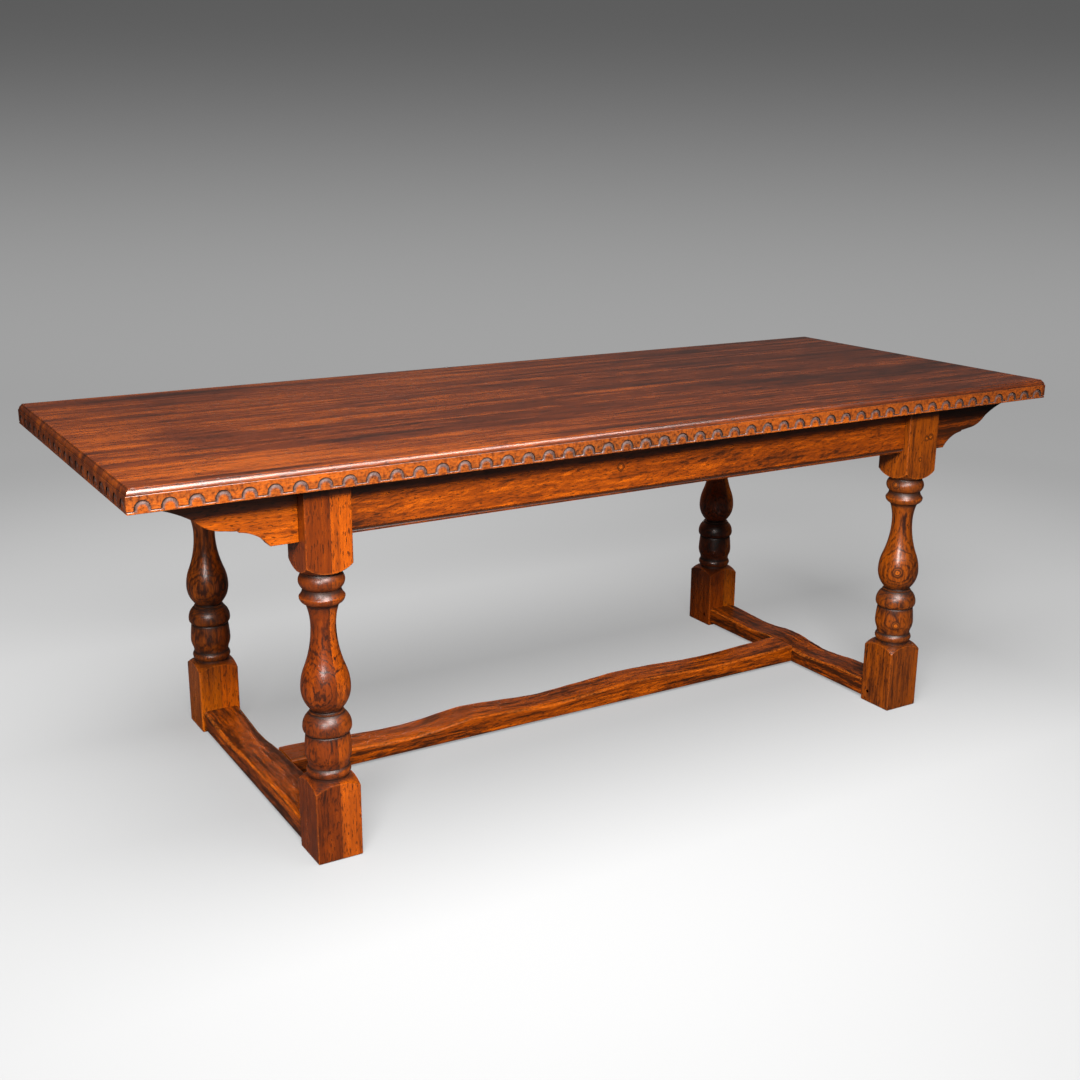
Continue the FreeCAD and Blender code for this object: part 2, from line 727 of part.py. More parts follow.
def group(label, pieces):
    """Separate solids of one kind, kept together as one node."""
    together = doc.addObject("Part::Compound", label)
    together.Label = label
    together.Links = pieces
    return together


def peg(start, length, axis):
    """A straight oak peg."""
    return rod(doc.addObject("Part::Prism", "Peg"), start, length, axis, DIM["peg_radius"])


def all_pegs():
    """The pegs of the rail tenons, and those of the stretcher tenons."""
    rail_pegs = []
    foot_pegs = []
    for side in SIDES.values():
        for end in ENDS.values():
            *upper, lower = leg_peg_holes(side, end)
            for holes, pegs in ((upper, rail_pegs), ([lower], foot_pegs)):
                for (across, deep, up), length, axis in holes:
                    start = (across + DIM["leg_x"] * side, deep + DIM["leg_y"] * end, up)
                    pegs.append(peg(start, length, axis))
        cross_x = (DIM["leg_x"] - HALF_STRETCHER + DIM["cross_peg_inset"]) * side
        foot_pegs.append(peg((cross_x, Size(0), DIM["stretcher_low"]), DIM["cross_peg_high"], (0, 0, 1)))
    return [group("rail_pegs", rail_pegs), group("stretcher_pegs", foot_pegs)]


def screw(label, length):
    """A flat-headed wood screw, head down."""
    foot = (0, 0, 0)
    up = (0, 0, 1)
    head = rod(doc.addObject("Part::Prism", "Head"), foot, DIM["screw_head_high"], up,
               DIM["screw_head_radius"])
    shank = rod(doc.addObject("Part::Prism", "Shank"), foot, length, up, DIM["screw_radius"])
    whole = doc.addObject("Part::Fuse", label)
    whole.Base = head
    whole.Tool = shank
    return whole


def button():
    """A wooden button: its tongue sits in the rail's groove and its back is bevelled."""
    body = new_body("button")
    section = new_sketch(body, "Section", "YZ_Plane")
    high = -DIM["button_gap"]
    low = high - DIM["button_high"]
    tongue_high = -DIM["groove_top"]
    tongue_low = tongue_high - DIM["button_tongue_high"]
    bevel = DIM["button_bevel"]
    draw(section, [(0, low, 0), (DIM["button_long"] - bevel, low, 0), (DIM["button_long"], low + bevel, 0),
                   (DIM["button_long"], high, 0), (0, high, 0), (0, tongue_high, 0),
                   (-DIM["button_tongue_long"], tongue_high, 0),
                   (-DIM["button_tongue_long"], tongue_low, 0), (0, tongue_low, 0)])
    pad(body, section, DIM["button_wide"], both_ways=True)
    foot = (Size(0), DIM["button_screw_in"], low)
    bore(body, foot, DIM["button_high"], (0, 0, 1), DIM["screw_radius"])
    bore(body, foot, DIM["screw_head_high"], (0, 0, 1), DIM["screw_head_radius"])
    return body


def button_places():
    """Where each button stands: the foot of its tongue on a rail, its turn and its screw."""
    face_y = DIM["leg_y"] + RAIL_OFFSET - DIM["rail_thick"] / 2
    face_x = DIM["leg_x"] + RAIL_OFFSET - DIM["rail_thick"] / 2
    screw_in = DIM["button_screw_in"]
    places = []
    for end in ENDS.values():
        for step in (-1, 0, 1):
            across = DIM["button_pitch"] * step
            turn = 0 if end < 0 else 180
            places.append((across, face_y * end, turn, across, (face_y - screw_in) * end))
    for side in SIDES.values():
        places.append((face_x * side, Size(0), side * 90, (face_x - screw_in) * side, Size(0)))
    return places


def copies(master, spots):
    """Linked copies of a small part, each at (x, y, z, turn)."""
    made = []
    for across, deep, up, turn in spots:
        copy = doc.addObject("App::Link", f"{master.Label}_copy")
        copy.LinkedObject = master
        put(copy, across, deep, up, turned(turn))
        made.append(copy)
    return made


def fastenings(places):
    """Buttons with their screws, and the screws of the brackets."""
    seat = TOP_LOW - DIM["button_gap"] - DIM["button_high"]
    buttons = [(across, deep, TOP_LOW, turn) for across, deep, turn, _, _ in places]
    button_screws = [(across, deep, seat, 0) for _, _, _, across, deep in places]
    bracket_screws = [(across, deep, TOP_LOW - DIM["bracket_screw_seat"], 0)
                      for across, deep in bracket_screw_places()]
    button_screw = screw("button_screw", DIM["button_screw_long"])
    bracket_screw = screw("bracket_screw", DIM["bracket_screw_long"])
    return [group("top_buttons", copies(button(), buttons)),
            group("button_screws", copies(button_screw, button_screws)),
            group("bracket_screws", copies(bracket_screw, bracket_screws))]


def bracket_screw_places():
    """Where the bracket screws stand."""
    out = DIM["leg_x"] + HALF_BLOCK + DIM["bracket_screw_out"]
    return [(out * side, DIM["leg_y"] * end) for side in SIDES.values() for end in ENDS.values()]


# ---------------------------------------------------------------- the table

def build_top(places):
    """The four boards and their tongues."""
    front = -HALF_WIDTH
    joints = [front + DIM["board_front"]]
    joints.append(joints[-1] + DIM["board_mid_front"])
    joints.append(joints[-1] + DIM["board_mid_back"])
    edges = [front] + joints + [HALF_WIDTH]
    into_top = DIM["button_screw_long"] - DIM["button_gap"] - DIM["button_high"]
    screws = [(across, deep, into_top) for _, _, _, across, deep in places]
    into_top = DIM["bracket_screw_long"] - DIM["bracket_screw_seat"]
    screws += [(across, deep, into_top) for across, deep in bracket_screw_places()]
    names = ["top_board_front", "top_board_mid_front", "top_board_mid_back", "top_board_back"]
    boards = [top_board(name, low, high, moulded, screws)
              for name, low, high, moulded in zip(names, edges, edges[1:], (-1, 0, 0, 1))]
    return boards + [top_tongues(joints)]


def build_legs():
    """Eight leg halves, named for their leg and for the side of the glue line."""
    form = turning_form()
    blanks = {half: leg_blank(half, form) for half in (-1, 1)}
    doc.recompute()
    halves = []
    for end_name, end in ENDS.items():
        for side_name, side in SIDES.items():
            for half, blank in blanks.items():
                place = "outer" if half == side else "inner"
                halves.append(leg_half(f"leg_{end_name}_{side_name}_{place}", side, end, half, blank))
    return halves


def build_rails():
    """Four rails, with the pegs of the short ones set above those of the long ones."""
    deep = DIM["leg_y"] + RAIL_OFFSET
    across = DIM["leg_x"] + RAIL_OFFSET
    short_peg = DIM["peg_low"] + DIM["peg_shift"]
    return [rail("rail_front", HALF_RAIL_X, 0, -deep, 0, DIM["peg_low"]),
            rail("rail_back", HALF_RAIL_X, 0, deep, 180, DIM["peg_low"]),
            rail("rail_left", HALF_RAIL_Y, -across, 0, -90, short_peg),
            rail("rail_right", HALF_RAIL_Y, across, 0, 90, short_peg)]


def build_table():
    """Every piece of the table, each a node of its own."""
    places = button_places()
    nodes = build_top(places) + build_legs() + build_rails()
    for end_name, end in ENDS.items():
        for side_name, side in SIDES.items():
            nodes.append(bracket(f"bracket_{end_name}_{side_name}", side, end))
    for side_name, side in SIDES.items():
        nodes.append(end_stretcher(f"stretcher_{side_name}", side))
    nodes.append(long_stretcher("stretcher_long"))
    return nodes + all_pegs() + fastenings(places)


def check(nodes):
    """Stop if any feature failed or any piece is not a sound solid."""
    for item in doc.Objects:
        if "Invalid" in item.State or "Error" in item.State:
            raise RuntimeError(f"{item.Name} ({item.Label}) did not compute: {item.State}")
    for node in nodes:
        if node.Shape.isNull() or not node.Shape.isValid() or not node.Shape.Solids:
            raise RuntimeError(f"{node.Label} is not a sound solid")


table = build_table()
doc.recompute()
check(table)
os.makedirs("parts", exist_ok=True)
for piece in table:
    piece.Shape.exportStep(f"parts/{piece.Label}.step")
print(f"{len(table)} pieces written")
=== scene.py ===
"""Refectory table: a plank top with a carved edge on four turned legs, in old stained oak.

Metres. The origin is on the floor under the middle of the top, +X runs along the table, +Y to
its back and +Z up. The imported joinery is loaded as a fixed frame, and each visible piece is
drawn over the solid that it stands for.
"""

import json
import math
from functools import partialmethod

import bmesh
import bpy
import numpy as np
from bpy.props import FloatProperty, FloatVectorProperty, IntProperty, PointerProperty
from bpy.types import Operator, Panel, PropertyGroup
from mathutils import Matrix, Vector

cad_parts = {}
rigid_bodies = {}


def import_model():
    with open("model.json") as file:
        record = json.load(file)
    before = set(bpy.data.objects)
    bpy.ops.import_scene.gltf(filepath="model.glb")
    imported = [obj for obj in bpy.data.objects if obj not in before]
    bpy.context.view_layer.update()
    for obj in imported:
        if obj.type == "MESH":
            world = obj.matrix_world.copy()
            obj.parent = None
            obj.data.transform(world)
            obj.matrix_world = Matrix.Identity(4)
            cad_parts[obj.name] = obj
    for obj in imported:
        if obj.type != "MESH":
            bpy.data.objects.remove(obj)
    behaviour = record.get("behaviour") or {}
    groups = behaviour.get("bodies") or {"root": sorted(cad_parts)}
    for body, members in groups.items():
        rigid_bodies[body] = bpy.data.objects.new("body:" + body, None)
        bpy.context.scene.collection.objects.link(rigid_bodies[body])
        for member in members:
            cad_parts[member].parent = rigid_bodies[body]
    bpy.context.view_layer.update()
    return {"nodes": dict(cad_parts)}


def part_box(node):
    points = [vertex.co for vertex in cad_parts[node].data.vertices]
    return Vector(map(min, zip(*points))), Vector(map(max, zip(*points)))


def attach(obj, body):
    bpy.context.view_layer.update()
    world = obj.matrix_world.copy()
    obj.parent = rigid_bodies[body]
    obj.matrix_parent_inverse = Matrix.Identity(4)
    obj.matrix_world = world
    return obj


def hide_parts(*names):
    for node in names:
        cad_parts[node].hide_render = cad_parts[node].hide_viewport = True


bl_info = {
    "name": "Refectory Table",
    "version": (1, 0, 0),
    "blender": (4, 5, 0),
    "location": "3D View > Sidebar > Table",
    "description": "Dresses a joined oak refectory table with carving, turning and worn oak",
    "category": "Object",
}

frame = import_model()

MM = 0.001
BODY = "root"

# Corners of the frame, and the end of the table that each one is at.
CORNERS = {"front_left": -1, "front_right": 1, "back_left": -1, "back_right": 1}

# Boards of the top: the long side that each one carries, 0 for none, and where its wood was cut.
BOARDS = {
    "top_board_front": (-1, (0.3, 0.11, 0.05)), "top_board_mid_front": (0, (3.1, 0.07, 0.09)),
    "top_board_mid_back": (0, (5.7, -0.06, 0.12)), "top_board_back": (1, (8.2, 0.15, 0.08)),
}

# Half the length and half the width of the top.
HALF_LONG, HALF_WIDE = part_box("top_board_back")[1][:2]

# Turned part of a leg in millimetres, from the foot block up: radius and height of each
# junction, and the bulge of the curve from there to the next one (minus is hollow).
TURNING = [
    (63, 140.5, 2.5), (36.5, 156.5, 0), (36.5, 161, 4.7), (37, 180, 0), (37.8, 180.6, -0.5),
    (39.6, 191, 1), (43.7, 209.5, 0.3), (40.6, 243.5, 0), (39.6, 244.5, 1.8), (45.6, 257, 3.7),
    (32, 284.5, 0), (32.3, 286.5, -1), (26.9, 289.3, 4.9), (46, 332.4, 1.85), (38.7, 371, -3.9),
    (23.2, 452, -1.6), (29.6, 491.5, 0), (31, 493, 0), (31.6, 495, 2.6), (41.8, 507.5, 0),
    (41.6, 509, -0.9), (35, 521.5, 0), (34.8, 523.5, 6.6), (36.2, 552.5, 0), (36.2, 555, 2.35),
    (63, 575.5, 0),
]

# Distance between two rings on the turned part.
TURNING_STEP = 0.0018

# How dark the turned part is made at each height in millimetres: stain grown on the rings and the
# bead, with dirt and painted shade in the quirks beside them.
RING_STAIN_AND_SHADE = [
    (156, 0.9), (163, 0.55), (174, 0.5), (179, 1), (182, 0.5), (190, 0.1), (225, 0), (238, 0.3),
    (244, 0.95), (248, 0.35), (262, 0.3), (276, 0.6), (284, 0.85), (289, 1), (295, 0.35), (315, 0),
    (480, 0), (490, 0.45), (496, 0.6), (508, 0.3), (514, 0.5), (521, 1), (527, 0.45), (540, 0.45),
    (552, 0.9), (560, 0.9),
]

# Knots by node: place of the heart and size.
KNOTS = {
    "leg_front_right_outer": [(0.7255, -0.388, 0.652, 0.0055), (0.738, -0.388, 0.6545, 0.0062)],
    "leg_front_right_inner": [(0.6839, -0.3736, 0.3377, 0.011), (0.6897, -0.3763, 0.2075, 0.009),
                              (0.6758, -0.3538, 0.543, 0.008), (0.7115, -0.388, 0.605, 0.0042)],
    "leg_front_left_inner": [(-0.6703, -0.388, 0.676, 0.0048)],
    "rail_front": [(-0.0946, -0.372, 0.6775, 0.007)],
    "stretcher_long": [(-0.3755, -0.0385, 0.0455, 0.009)],
}

# Wood of each leg's left and right piece, how much lighter or darker the whole leg is made, and
# bands round it that are lighter or darker: height, half spread and strength. The darker front
# right and back left legs are painted shade, for the light falling off to the right and the top's
# shadow over the back legs, and the lighter bands at the back feet are painted light where the
# light reaches under the top.
LEG_WOODS_AND_SHADE = {
    "front_left": ("red", "gold", 0.0, [(0.05, 0.18, -0.06), (0.36, 0.26, -0.04)]),
    "front_right": ("brown", "brown", -0.12, []),
    "back_left": ("brown", "gold", -0.2, [(0.05, 0.18, 0.24)]),
    "back_right": ("red", "brown", 0.06, [(0.05, 0.18, 0.08)]),
}

# How strongly the rings show round the bulb of a leg, by its wood.
BULB_RINGS = {"red": 0.42, "brown": 0.25, "gold": 0.2}

# Patches of stain: place, half length, half width and strength, where minus is darker.
TOP_STAINS = [
    (-0.83, -0.33, 0.36, 0.1, 0.25), (-0.99, 0, 0.14, 0.5, 0.16), (-0.5, -0.33, 0.55, 0.09, 0.16),
    (-0.7, 0.13, 0.42, 0.2, 0.12), (0.3, -0.37, 1.1, 0.09, -0.04), (-0.3, -0.2, 0.6, 0.18, -0.02),
    (-0.88, -0.055, 0.17, 0.08, -0.32), (-0.56, -0.235, 0.14, 0.045, -0.28),
    (-0.3, -0.27, 0.09, 0.035, -0.14), (-0.03, -0.165, 0.14, 0.04, -0.2),
    (-0.39, -0.164, 0.4, 0.008, -0.25), (0.04, 0.055, 0.14, 0.04, -0.16),
    (-0.8, 0.33, 0.28, 0.1, -0.2), (-0.15, -0.378, 0.45, 0.011, -0.22),
    (0.5, -0.378, 0.7, 0.008, -0.18), (-0.82, -0.395, 0.32, 0.014, -0.28),
    (0.85, 0.1, 1.0, 0.9, -0.12), (0.62, 0.34, 0.1, 0.04, -0.12), (0.7, -0.17, 0.7, 0.05, -0.1),
]
RAIL_STAINS = {"rail_front": [(-0.68, -0.372, 0.2, 1.0, -0.07)]}

# Painted light and shade on some of the brackets: how much lighter or darker each is made, the
# front left one as if better lit and the front right one as if in shadow.
BRACKET_LIGHT_AND_SHADE = {"bracket_front_left": 0.16, "bracket_front_right": -0.25}

# Worn upper sides of the stretchers: share of the length, and height in millimetres.
WEAR = {
    "stretcher_left": [(0, 49), (0.225, 53), (0.483, 49), (0.743, 39.5), (1, 49)],
    "stretcher_right": [(0, 48), (0.14, 48.5), (0.358, 40.5), (0.567, 50), (0.751, 42.5), (1, 47)],
    "stretcher_long": [(0, 50), (0.203, 40), (0.326, 51), (0.463, 41.5), (0.652, 51), (0.83, 43),
                       (0.945, 47), (1, 50)],
}

# Middle of the view, which most lights are aimed at.
HEART = (-0.2, -0.3, 0.6)

# Soft boxes: place, aim, size, power, whether they give matt light or shine, and what they light.
LIGHTS = {
    "key": ((-1.1, -2.6, 2.3), HEART, (0.9, 0.5), 285, "diffuse", "table"),
    "left": ((-3.2, -1.5, 2.0), HEART, (0.7, 0.6), 190, "diffuse", "table"),
    "right": ((3.3, 0.6, 1.6), HEART, (0.8, 0.8), 60, "diffuse", "table"),
    "back": ((0.8, 3.3, 1.6), HEART, (1.4, 0.8), 130, "diffuse", "table"),
    "sheen": ((-0.5, -2.6, 3.2), HEART, (0.9, 2.0), 430, "gloss", "table"),
    "glint": ((-2.2, -2.7, 1.9), HEART, (0.4, 0.6), 160, "gloss", "frame"),
    "strip": ((0.6, -2.0, 3.2), (0.0, -0.42, 0.75), (2.6, 0.7), 260, "gloss", "planks"),
    "front": ((-1.7, -2.8, 2.9), HEART, (2.2, 1.2), 430, "both", "backdrop"),
    "overhead": ((-0.8, -0.5, 3.6), (-0.8, -0.5, 0.0), (2.8, 2.2), 330, "both", "backdrop"),
}


# ---- settings

def setting(kind, **fixed):
    """A maker of settings of one kind, which takes a name, a description and a default."""
    return lambda name, description, default: kind(name=name, description=description,
                                                   default=default, **fixed)


length = setting(FloatProperty, min=0.0, precision=4, subtype="DISTANCE", unit="LENGTH")
fraction = setting(FloatProperty, min=0.0, max=1.0)
radians = setting(FloatProperty, subtype="ANGLE")
focal = setting(FloatProperty, unit="CAMERA")
arches = setting(IntProperty, min=2)
position = setting(FloatVectorProperty, size=3, subtype="TRANSLATION")
colour = setting(FloatVectorProperty, min=0.0, max=1.0, size=3, subtype="COLOR")


class TopSettings(PropertyGroup):
    """Sizes and colours of the top."""

    mould_inset: length("Moulding width", "From the edge to the flat of the top", 0.0077)
    face_drop: length("Moulding height", "Drop of the carved face below the top", 0.0116)
    arch_width: length("Lunette width", "Width of one carved arch", 0.028)
    arch_crown: length("Lunette crown", "Drop of the arch's crown below the top", 0.0195)
    arch_foot: length("Lunette foot", "Drop of the line that joins the arches", 0.0366)
    channel_deep: length("Channel depth", "Depth of the channel at its outer wall", 0.0019)
    side_wide: length("Channel at the sides", "Its width beside the tongue", 0.0068)
    crown_wide: length("Channel at the crown", "Its width above the tongue", 0.0088)
    strip_wide: length("Strip height", "Height of the channel between two arches", 0.0023)
    face_wear: fraction("Rubbed face", "How far the carved face is rubbed pale", 0.5)
    end_shade: fraction("Short side dirt", "How dark the short sides have grown", 0.5)
    front_margin: length("Long side margin", "From a corner to the first arch", 0.0254)
    end_margin: length("Short side margin", "From a corner to the first arch", 0.0257)
    # Painted shade: the short sides are darkened all over, as if less lit.
    hand_drift: length("Hand spacing", "How far a long side's middle is out of step", 0.0175)
    front_count: arches("Long side lunettes", "Arches along a long side", 49)
    end_count: arches("Short side lunettes", "Arches along a short side", 19)
    pale: colour("Pale", "Lightest streaks of the top", (0.265, 0.051, 0.003))
    ground: colour("Ground", "Main colour of the top", (0.092, 0.0165, 0.003))
    dark: colour("Dark", "Darkest streaks of the top", (0.022, 0.006, 0.003))


class LegSettings(PropertyGroup):
    """Sizes and colours of the legs."""

    glue_line: length("Glue line", "How far right of the middle the two pieces meet", 0.0027)
    arris: length("Arris", "Rounding of the square blocks' corners", 0.0022)
    foot_ease: length("Foot bevel", "Bevel under the foot", 0.002)
    red_pale: colour("Red, pale", "Lightest wood of a dark piece", (0.19, 0.032, 0.001))
    red_ground: colour("Red, ground", "Main colour of a dark piece", (0.085, 0.013, 0.0007))
    gold_pale: colour("Gold, pale", "Lightest wood of a bright piece", (0.35, 0.064, 0.001))
    gold_ground: colour("Gold, ground", "Main colour of a bright piece", (0.185, 0.031, 0.0006))
    brown_pale: colour("Brown, pale", "Lightest wood of an even piece", (0.27, 0.058, 0.001))
    brown_ground: colour("Brown, ground", "Main colour of an even piece", (0.15, 0.029, 0.0007))
    dark: colour("Dark", "Darkest wood of the legs", (0.018, 0.004, 0.0015))


class FrameSettings(PropertyGroup):
    """Sizes and colours of the rails, brackets and stretchers."""

    edge: length("Bracket edge", "Rounding of the brackets' edges", 0.001)
    arris: length("Stretcher arris", "Least rounding of the stretchers' upper edges", 0.0032)
    pale: colour("Pale", "Lightest wood of the frame", (0.30, 0.056, 0.001))
    ground: colour("Ground", "Main colour of the frame", (0.130, 0.0215, 0.0007))
    dark: colour("Dark", "Darkest wood of the frame", (0.020, 0.005, 0.0015))


class StageSettings(PropertyGroup):
    """Camera, floor and light."""

    camera_place: position("Camera", "Where the camera stands", (-1.58591, -2.5482, 1.29583))
    yaw: radians("Yaw", "Turn of the view from +Y towards +X", 0.54088)
    pitch: radians("Pitch", "Tilt of the view up from level", -0.284)
    roll: radians("Roll", "Turn of the camera about its own axis", 0.00676)
    lens: focal("Lens", "Focal length on a sensor 36 mm wide", 45.9)
    # The floor, far floor and wall colours grade the backdrop from pale to grey: a painted falloff
    # of light.
    floor: colour("Floor", "Colour of the floor round the table", (0.95, 0.95, 0.95))
    edge: colour("Far floor", "Colour of the floor well away", (0.38, 0.38, 0.38))
    wall: colour("Wall", "Colour of the backdrop's upper part", (0.115, 0.115, 0.115))
    glow: fraction("Glow", "Share of the floor's paleness that no shadow takes away", 0.35)


# ---- curves and meshes

def ease(share):
    """Smooth step from 0 to 1: three times the square less twice the cube."""
    return share * share * (3 - 2 * share)


def bowed(stations, spacing):
    """Points along (x, y, bulge) stations, about a spacing apart.

    Each stretch is the parabola through its two ends whose middle stands off the chord by the
    bulge, to the right of the way.
    """
    points = []
    for (x0, y0, bulge), (x1, y1, _) in zip(stations, stations[1:]):
        run = np.array([x1 - x0, y1 - y0])
        span = np.hypot(*run)
        count = max(1, round(span / spacing)) if bulge or span > 4 * spacing else 1
        share = (np.arange(count) / count)[:, None]
        aside = np.array([run[1], -run[0]]) / span
        points.append([x0, y0] + run * share + aside * (4 * bulge * share * (1 - share)))
    points.append(np.array([stations[-1][:2]]))
    return np.concatenate(points)


def new_piece(name, node, rings, material, marks=None, sharp=32):
    """A closed piece over a node: rows of rings, with a flat cap on the first and last.

    Marks are values of its points for dirt and painted shade, wear and carving, and edges
    sharper than an angle in degrees stay sharp.
    """
    rings = np.array(rings)
    rows, columns = rings.shape[:2]
    index = np.arange(rows * columns).reshape(rows, columns)
    turned = np.roll(index, -1, axis=1)
    quads = np.stack([index[:-1], turned[:-1], turned[1:], index[1:]], axis=-1)
    corners = np.concatenate([quads.ravel(), index[0], index[-1]])
    totals = np.array([4] * (quads.size // 4) + [columns] * 2)
    mesh = bpy.data.meshes.new(name)
    mesh.vertices.add(rows * columns)
    mesh.vertices.foreach_set("co", rings.astype(np.float32).ravel())
    mesh.loops.add(len(corners))
    mesh.loops.foreach_set("vertex_index", corners.astype(np.int32))
    mesh.polygons.add(len(totals))
    loop_starts = np.append([0], totals.cumsum()[:-1])
    mesh.polygons.foreach_set("loop_start", loop_starts.astype(np.int32))
    for mark, values in (marks or {}).items():
        attribute = mesh.attributes.new(mark, "FLOAT", "POINT")
        attribute.data.foreach_set("value", np.ravel(values).astype(np.float32))
    mesh.update(calc_edges=True)
    shape = bmesh.new()
    shape.from_mesh(mesh)
    bmesh.ops.remove_doubles(shape, verts=shape.verts, dist=1e-6)
    bmesh.ops.recalc_face_normals(shape, faces=shape.faces)
    shape.to_mesh(mesh)
    shape.free()
    mesh.polygons.foreach_set("use_smooth", np.ones(len(mesh.polygons), bool))
    mesh.set_sharp_from_angle(angle=math.radians(sharp))
    mesh.materials.append(material)
    piece = bpy.data.objects.new(name, mesh)
    bpy.context.scene.collection.objects.link(piece)
    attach(piece, BODY)
    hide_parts(node)


# ---- node wiring

# Half length of a stain patch that never ends.
FAR = 1000


class Wiring:
    """Adds nodes to a node tree, each wired in one call."""

    def __init__(self, tree):
        self.tree = tree

    def add(self, kind, inputs=(), **settings):
        """A new node with its settings and with values or links on its inputs."""
        node = self.tree.nodes.new(kind)
        for name, value in settings.items():
            setattr(node, name, value)
        for key, value in dict(inputs).items():
            self.feed(node.inputs[key], value)
        return node

    def feed(self, socket, value):
        """Link a socket to another, or give it a value."""
        if isinstance(value, bpy.types.NodeSocket):
            self.tree.links.new(value, socket)
        else:
            socket.default_value = value

    def math(self, operation, *values, clamp=False):
        """A Math node's result."""
        node = self.add("ShaderNodeMath", enumerate(values), operation=operation, use_clamp=clamp)
        return node.outputs[0]

    plus = partialmethod(math, "ADD")
    minus = partialmethod(math, "SUBTRACT")
    times = partialmethod(math, "MULTIPLY")

    def vector(self, operation, *values):
        """A Vector Math node's vector."""
        node = self.add("ShaderNodeVectorMath", enumerate(values), operation=operation)
        return node.outputs[0]

    def size(self, vector):
        """The length of a vector."""
        return self.add("ShaderNodeVectorMath", {0: vector}, operation="LENGTH").outputs["Value"]

    def split(self, vector):
        """The outputs X, Y and Z of a vector."""
        return self.add("ShaderNodeSeparateXYZ", {0: vector}).outputs

    def mix(self, factor, first, second, blend="MIX"):
        """Two colours mixed by a factor."""
        node = self.add("ShaderNodeMix", {0: factor}, data_type="RGBA", blend_type=blend)
        self.feed(node.inputs[6], first)
        self.feed(node.inputs[7], second)
        return node.outputs[2]

    def noise(self, vector, scales, detail=3.0, roughness=0.55, distortion=0.0):
        """Noise from 0 to 1 with its own number of waves to the metre along each axis."""
        spread = self.vector("MULTIPLY", vector, scales)
        node = self.add("ShaderNodeTexNoise", {"Vector": spread, "Scale": 1.0, "Detail": detail,
                                               "Roughness": roughness, "Distortion": distortion})
        return node.outputs["Fac"]

    def jolt(self, vector, scales, detail, reach):
        """A noise vector: from minus half the reach to plus half of it along each axis."""
        spread = self.vector("MULTIPLY", vector, scales)
        node = self.add("ShaderNodeTexNoise", {"Vector": spread, "Scale": 1.0, "Detail": detail})
        centred = self.vector("SUBTRACT", node.outputs["Color"], (0.5, 0.5, 0.5))
        return self.vector("MULTIPLY", centred, reach)

    def level(self, value, low, high):
        """A smooth rise from 0 at low to 1 at high."""
        node = self.add("ShaderNodeMapRange", {"Value": value, "From Min": low, "From Max": high},
                        interpolation_type="SMOOTHSTEP")
        return node.outputs["Result"]

    def group(self, name, inputs):
        """Outputs of a shared node group, built the first time that it is asked for."""
        tree = bpy.data.node_groups.get(name) or GROUPS[name]()
        return self.add("ShaderNodeGroup", inputs, node_tree=tree).outputs

    def patched(self, value, vector, heart, spread, strength):
        """A value with a patch added to it: stains, and painted light and shade on some legs and
        brackets.
        """
        patch = self.group("Stain patch", {"Vector": vector, "Heart": heart, "Spread": spread,
                                           "Strength": strength})
        return self.plus(patch["Lift"], value)

    def surface(self, inputs):
        """A Principled shader on the surface of the material."""
        shader = self.add("ShaderNodeBsdfPrincipled", inputs)
        self.add("ShaderNodeOutputMaterial", {"Surface": shader.outputs[0]})


def new_group(name, inputs, outputs):
    """A shader node group with labels by kind of socket: group, wiring, inputs and outputs."""
    group = bpy.data.node_groups.new(name, "ShaderNodeTree")
    for way, kinds in (("INPUT", inputs), ("OUTPUT", outputs)):
        for kind, labels in kinds.items():
            for label in labels:
                group.interface.new_socket(name=label, in_out=way, socket_type=f"NodeSocket{kind}")
    wire = Wiring(group)
    return group, wire, wire.add("NodeGroupInput").outputs, wire.add("NodeGroupOutput").inputs


def new_material(name):
    """An empty material, its wiring and the place on the object."""
    material = bpy.data.materials.new(name)
    material.use_nodes = True
    material.node_tree.nodes.clear()
    wire = Wiring(material.node_tree)
    return material, wire, wire.add("ShaderNodeTexCoord").outputs["Object"]


# ---- oak

# Year rings to the metre, colours of old dirt and painted shade and of rubbed wood, and turns of
# the grain.
RINGS_TO_METRE = 280.0
CARVED_DARK, CARVED_PALE = (0.025, 0.013, 0.011, 1), (0.095, 0.056, 0.047, 1)
RUBBED, DIRT_AND_SHADE = (0.5, 0.115, 0.01, 1), (0.006, 0.003, 0.002, 1)
GRAIN_TURNS = {"x": (0, 0, 0), "y": (0, 0, math.pi / 2), "z": (0, math.pi / 2, 0)}


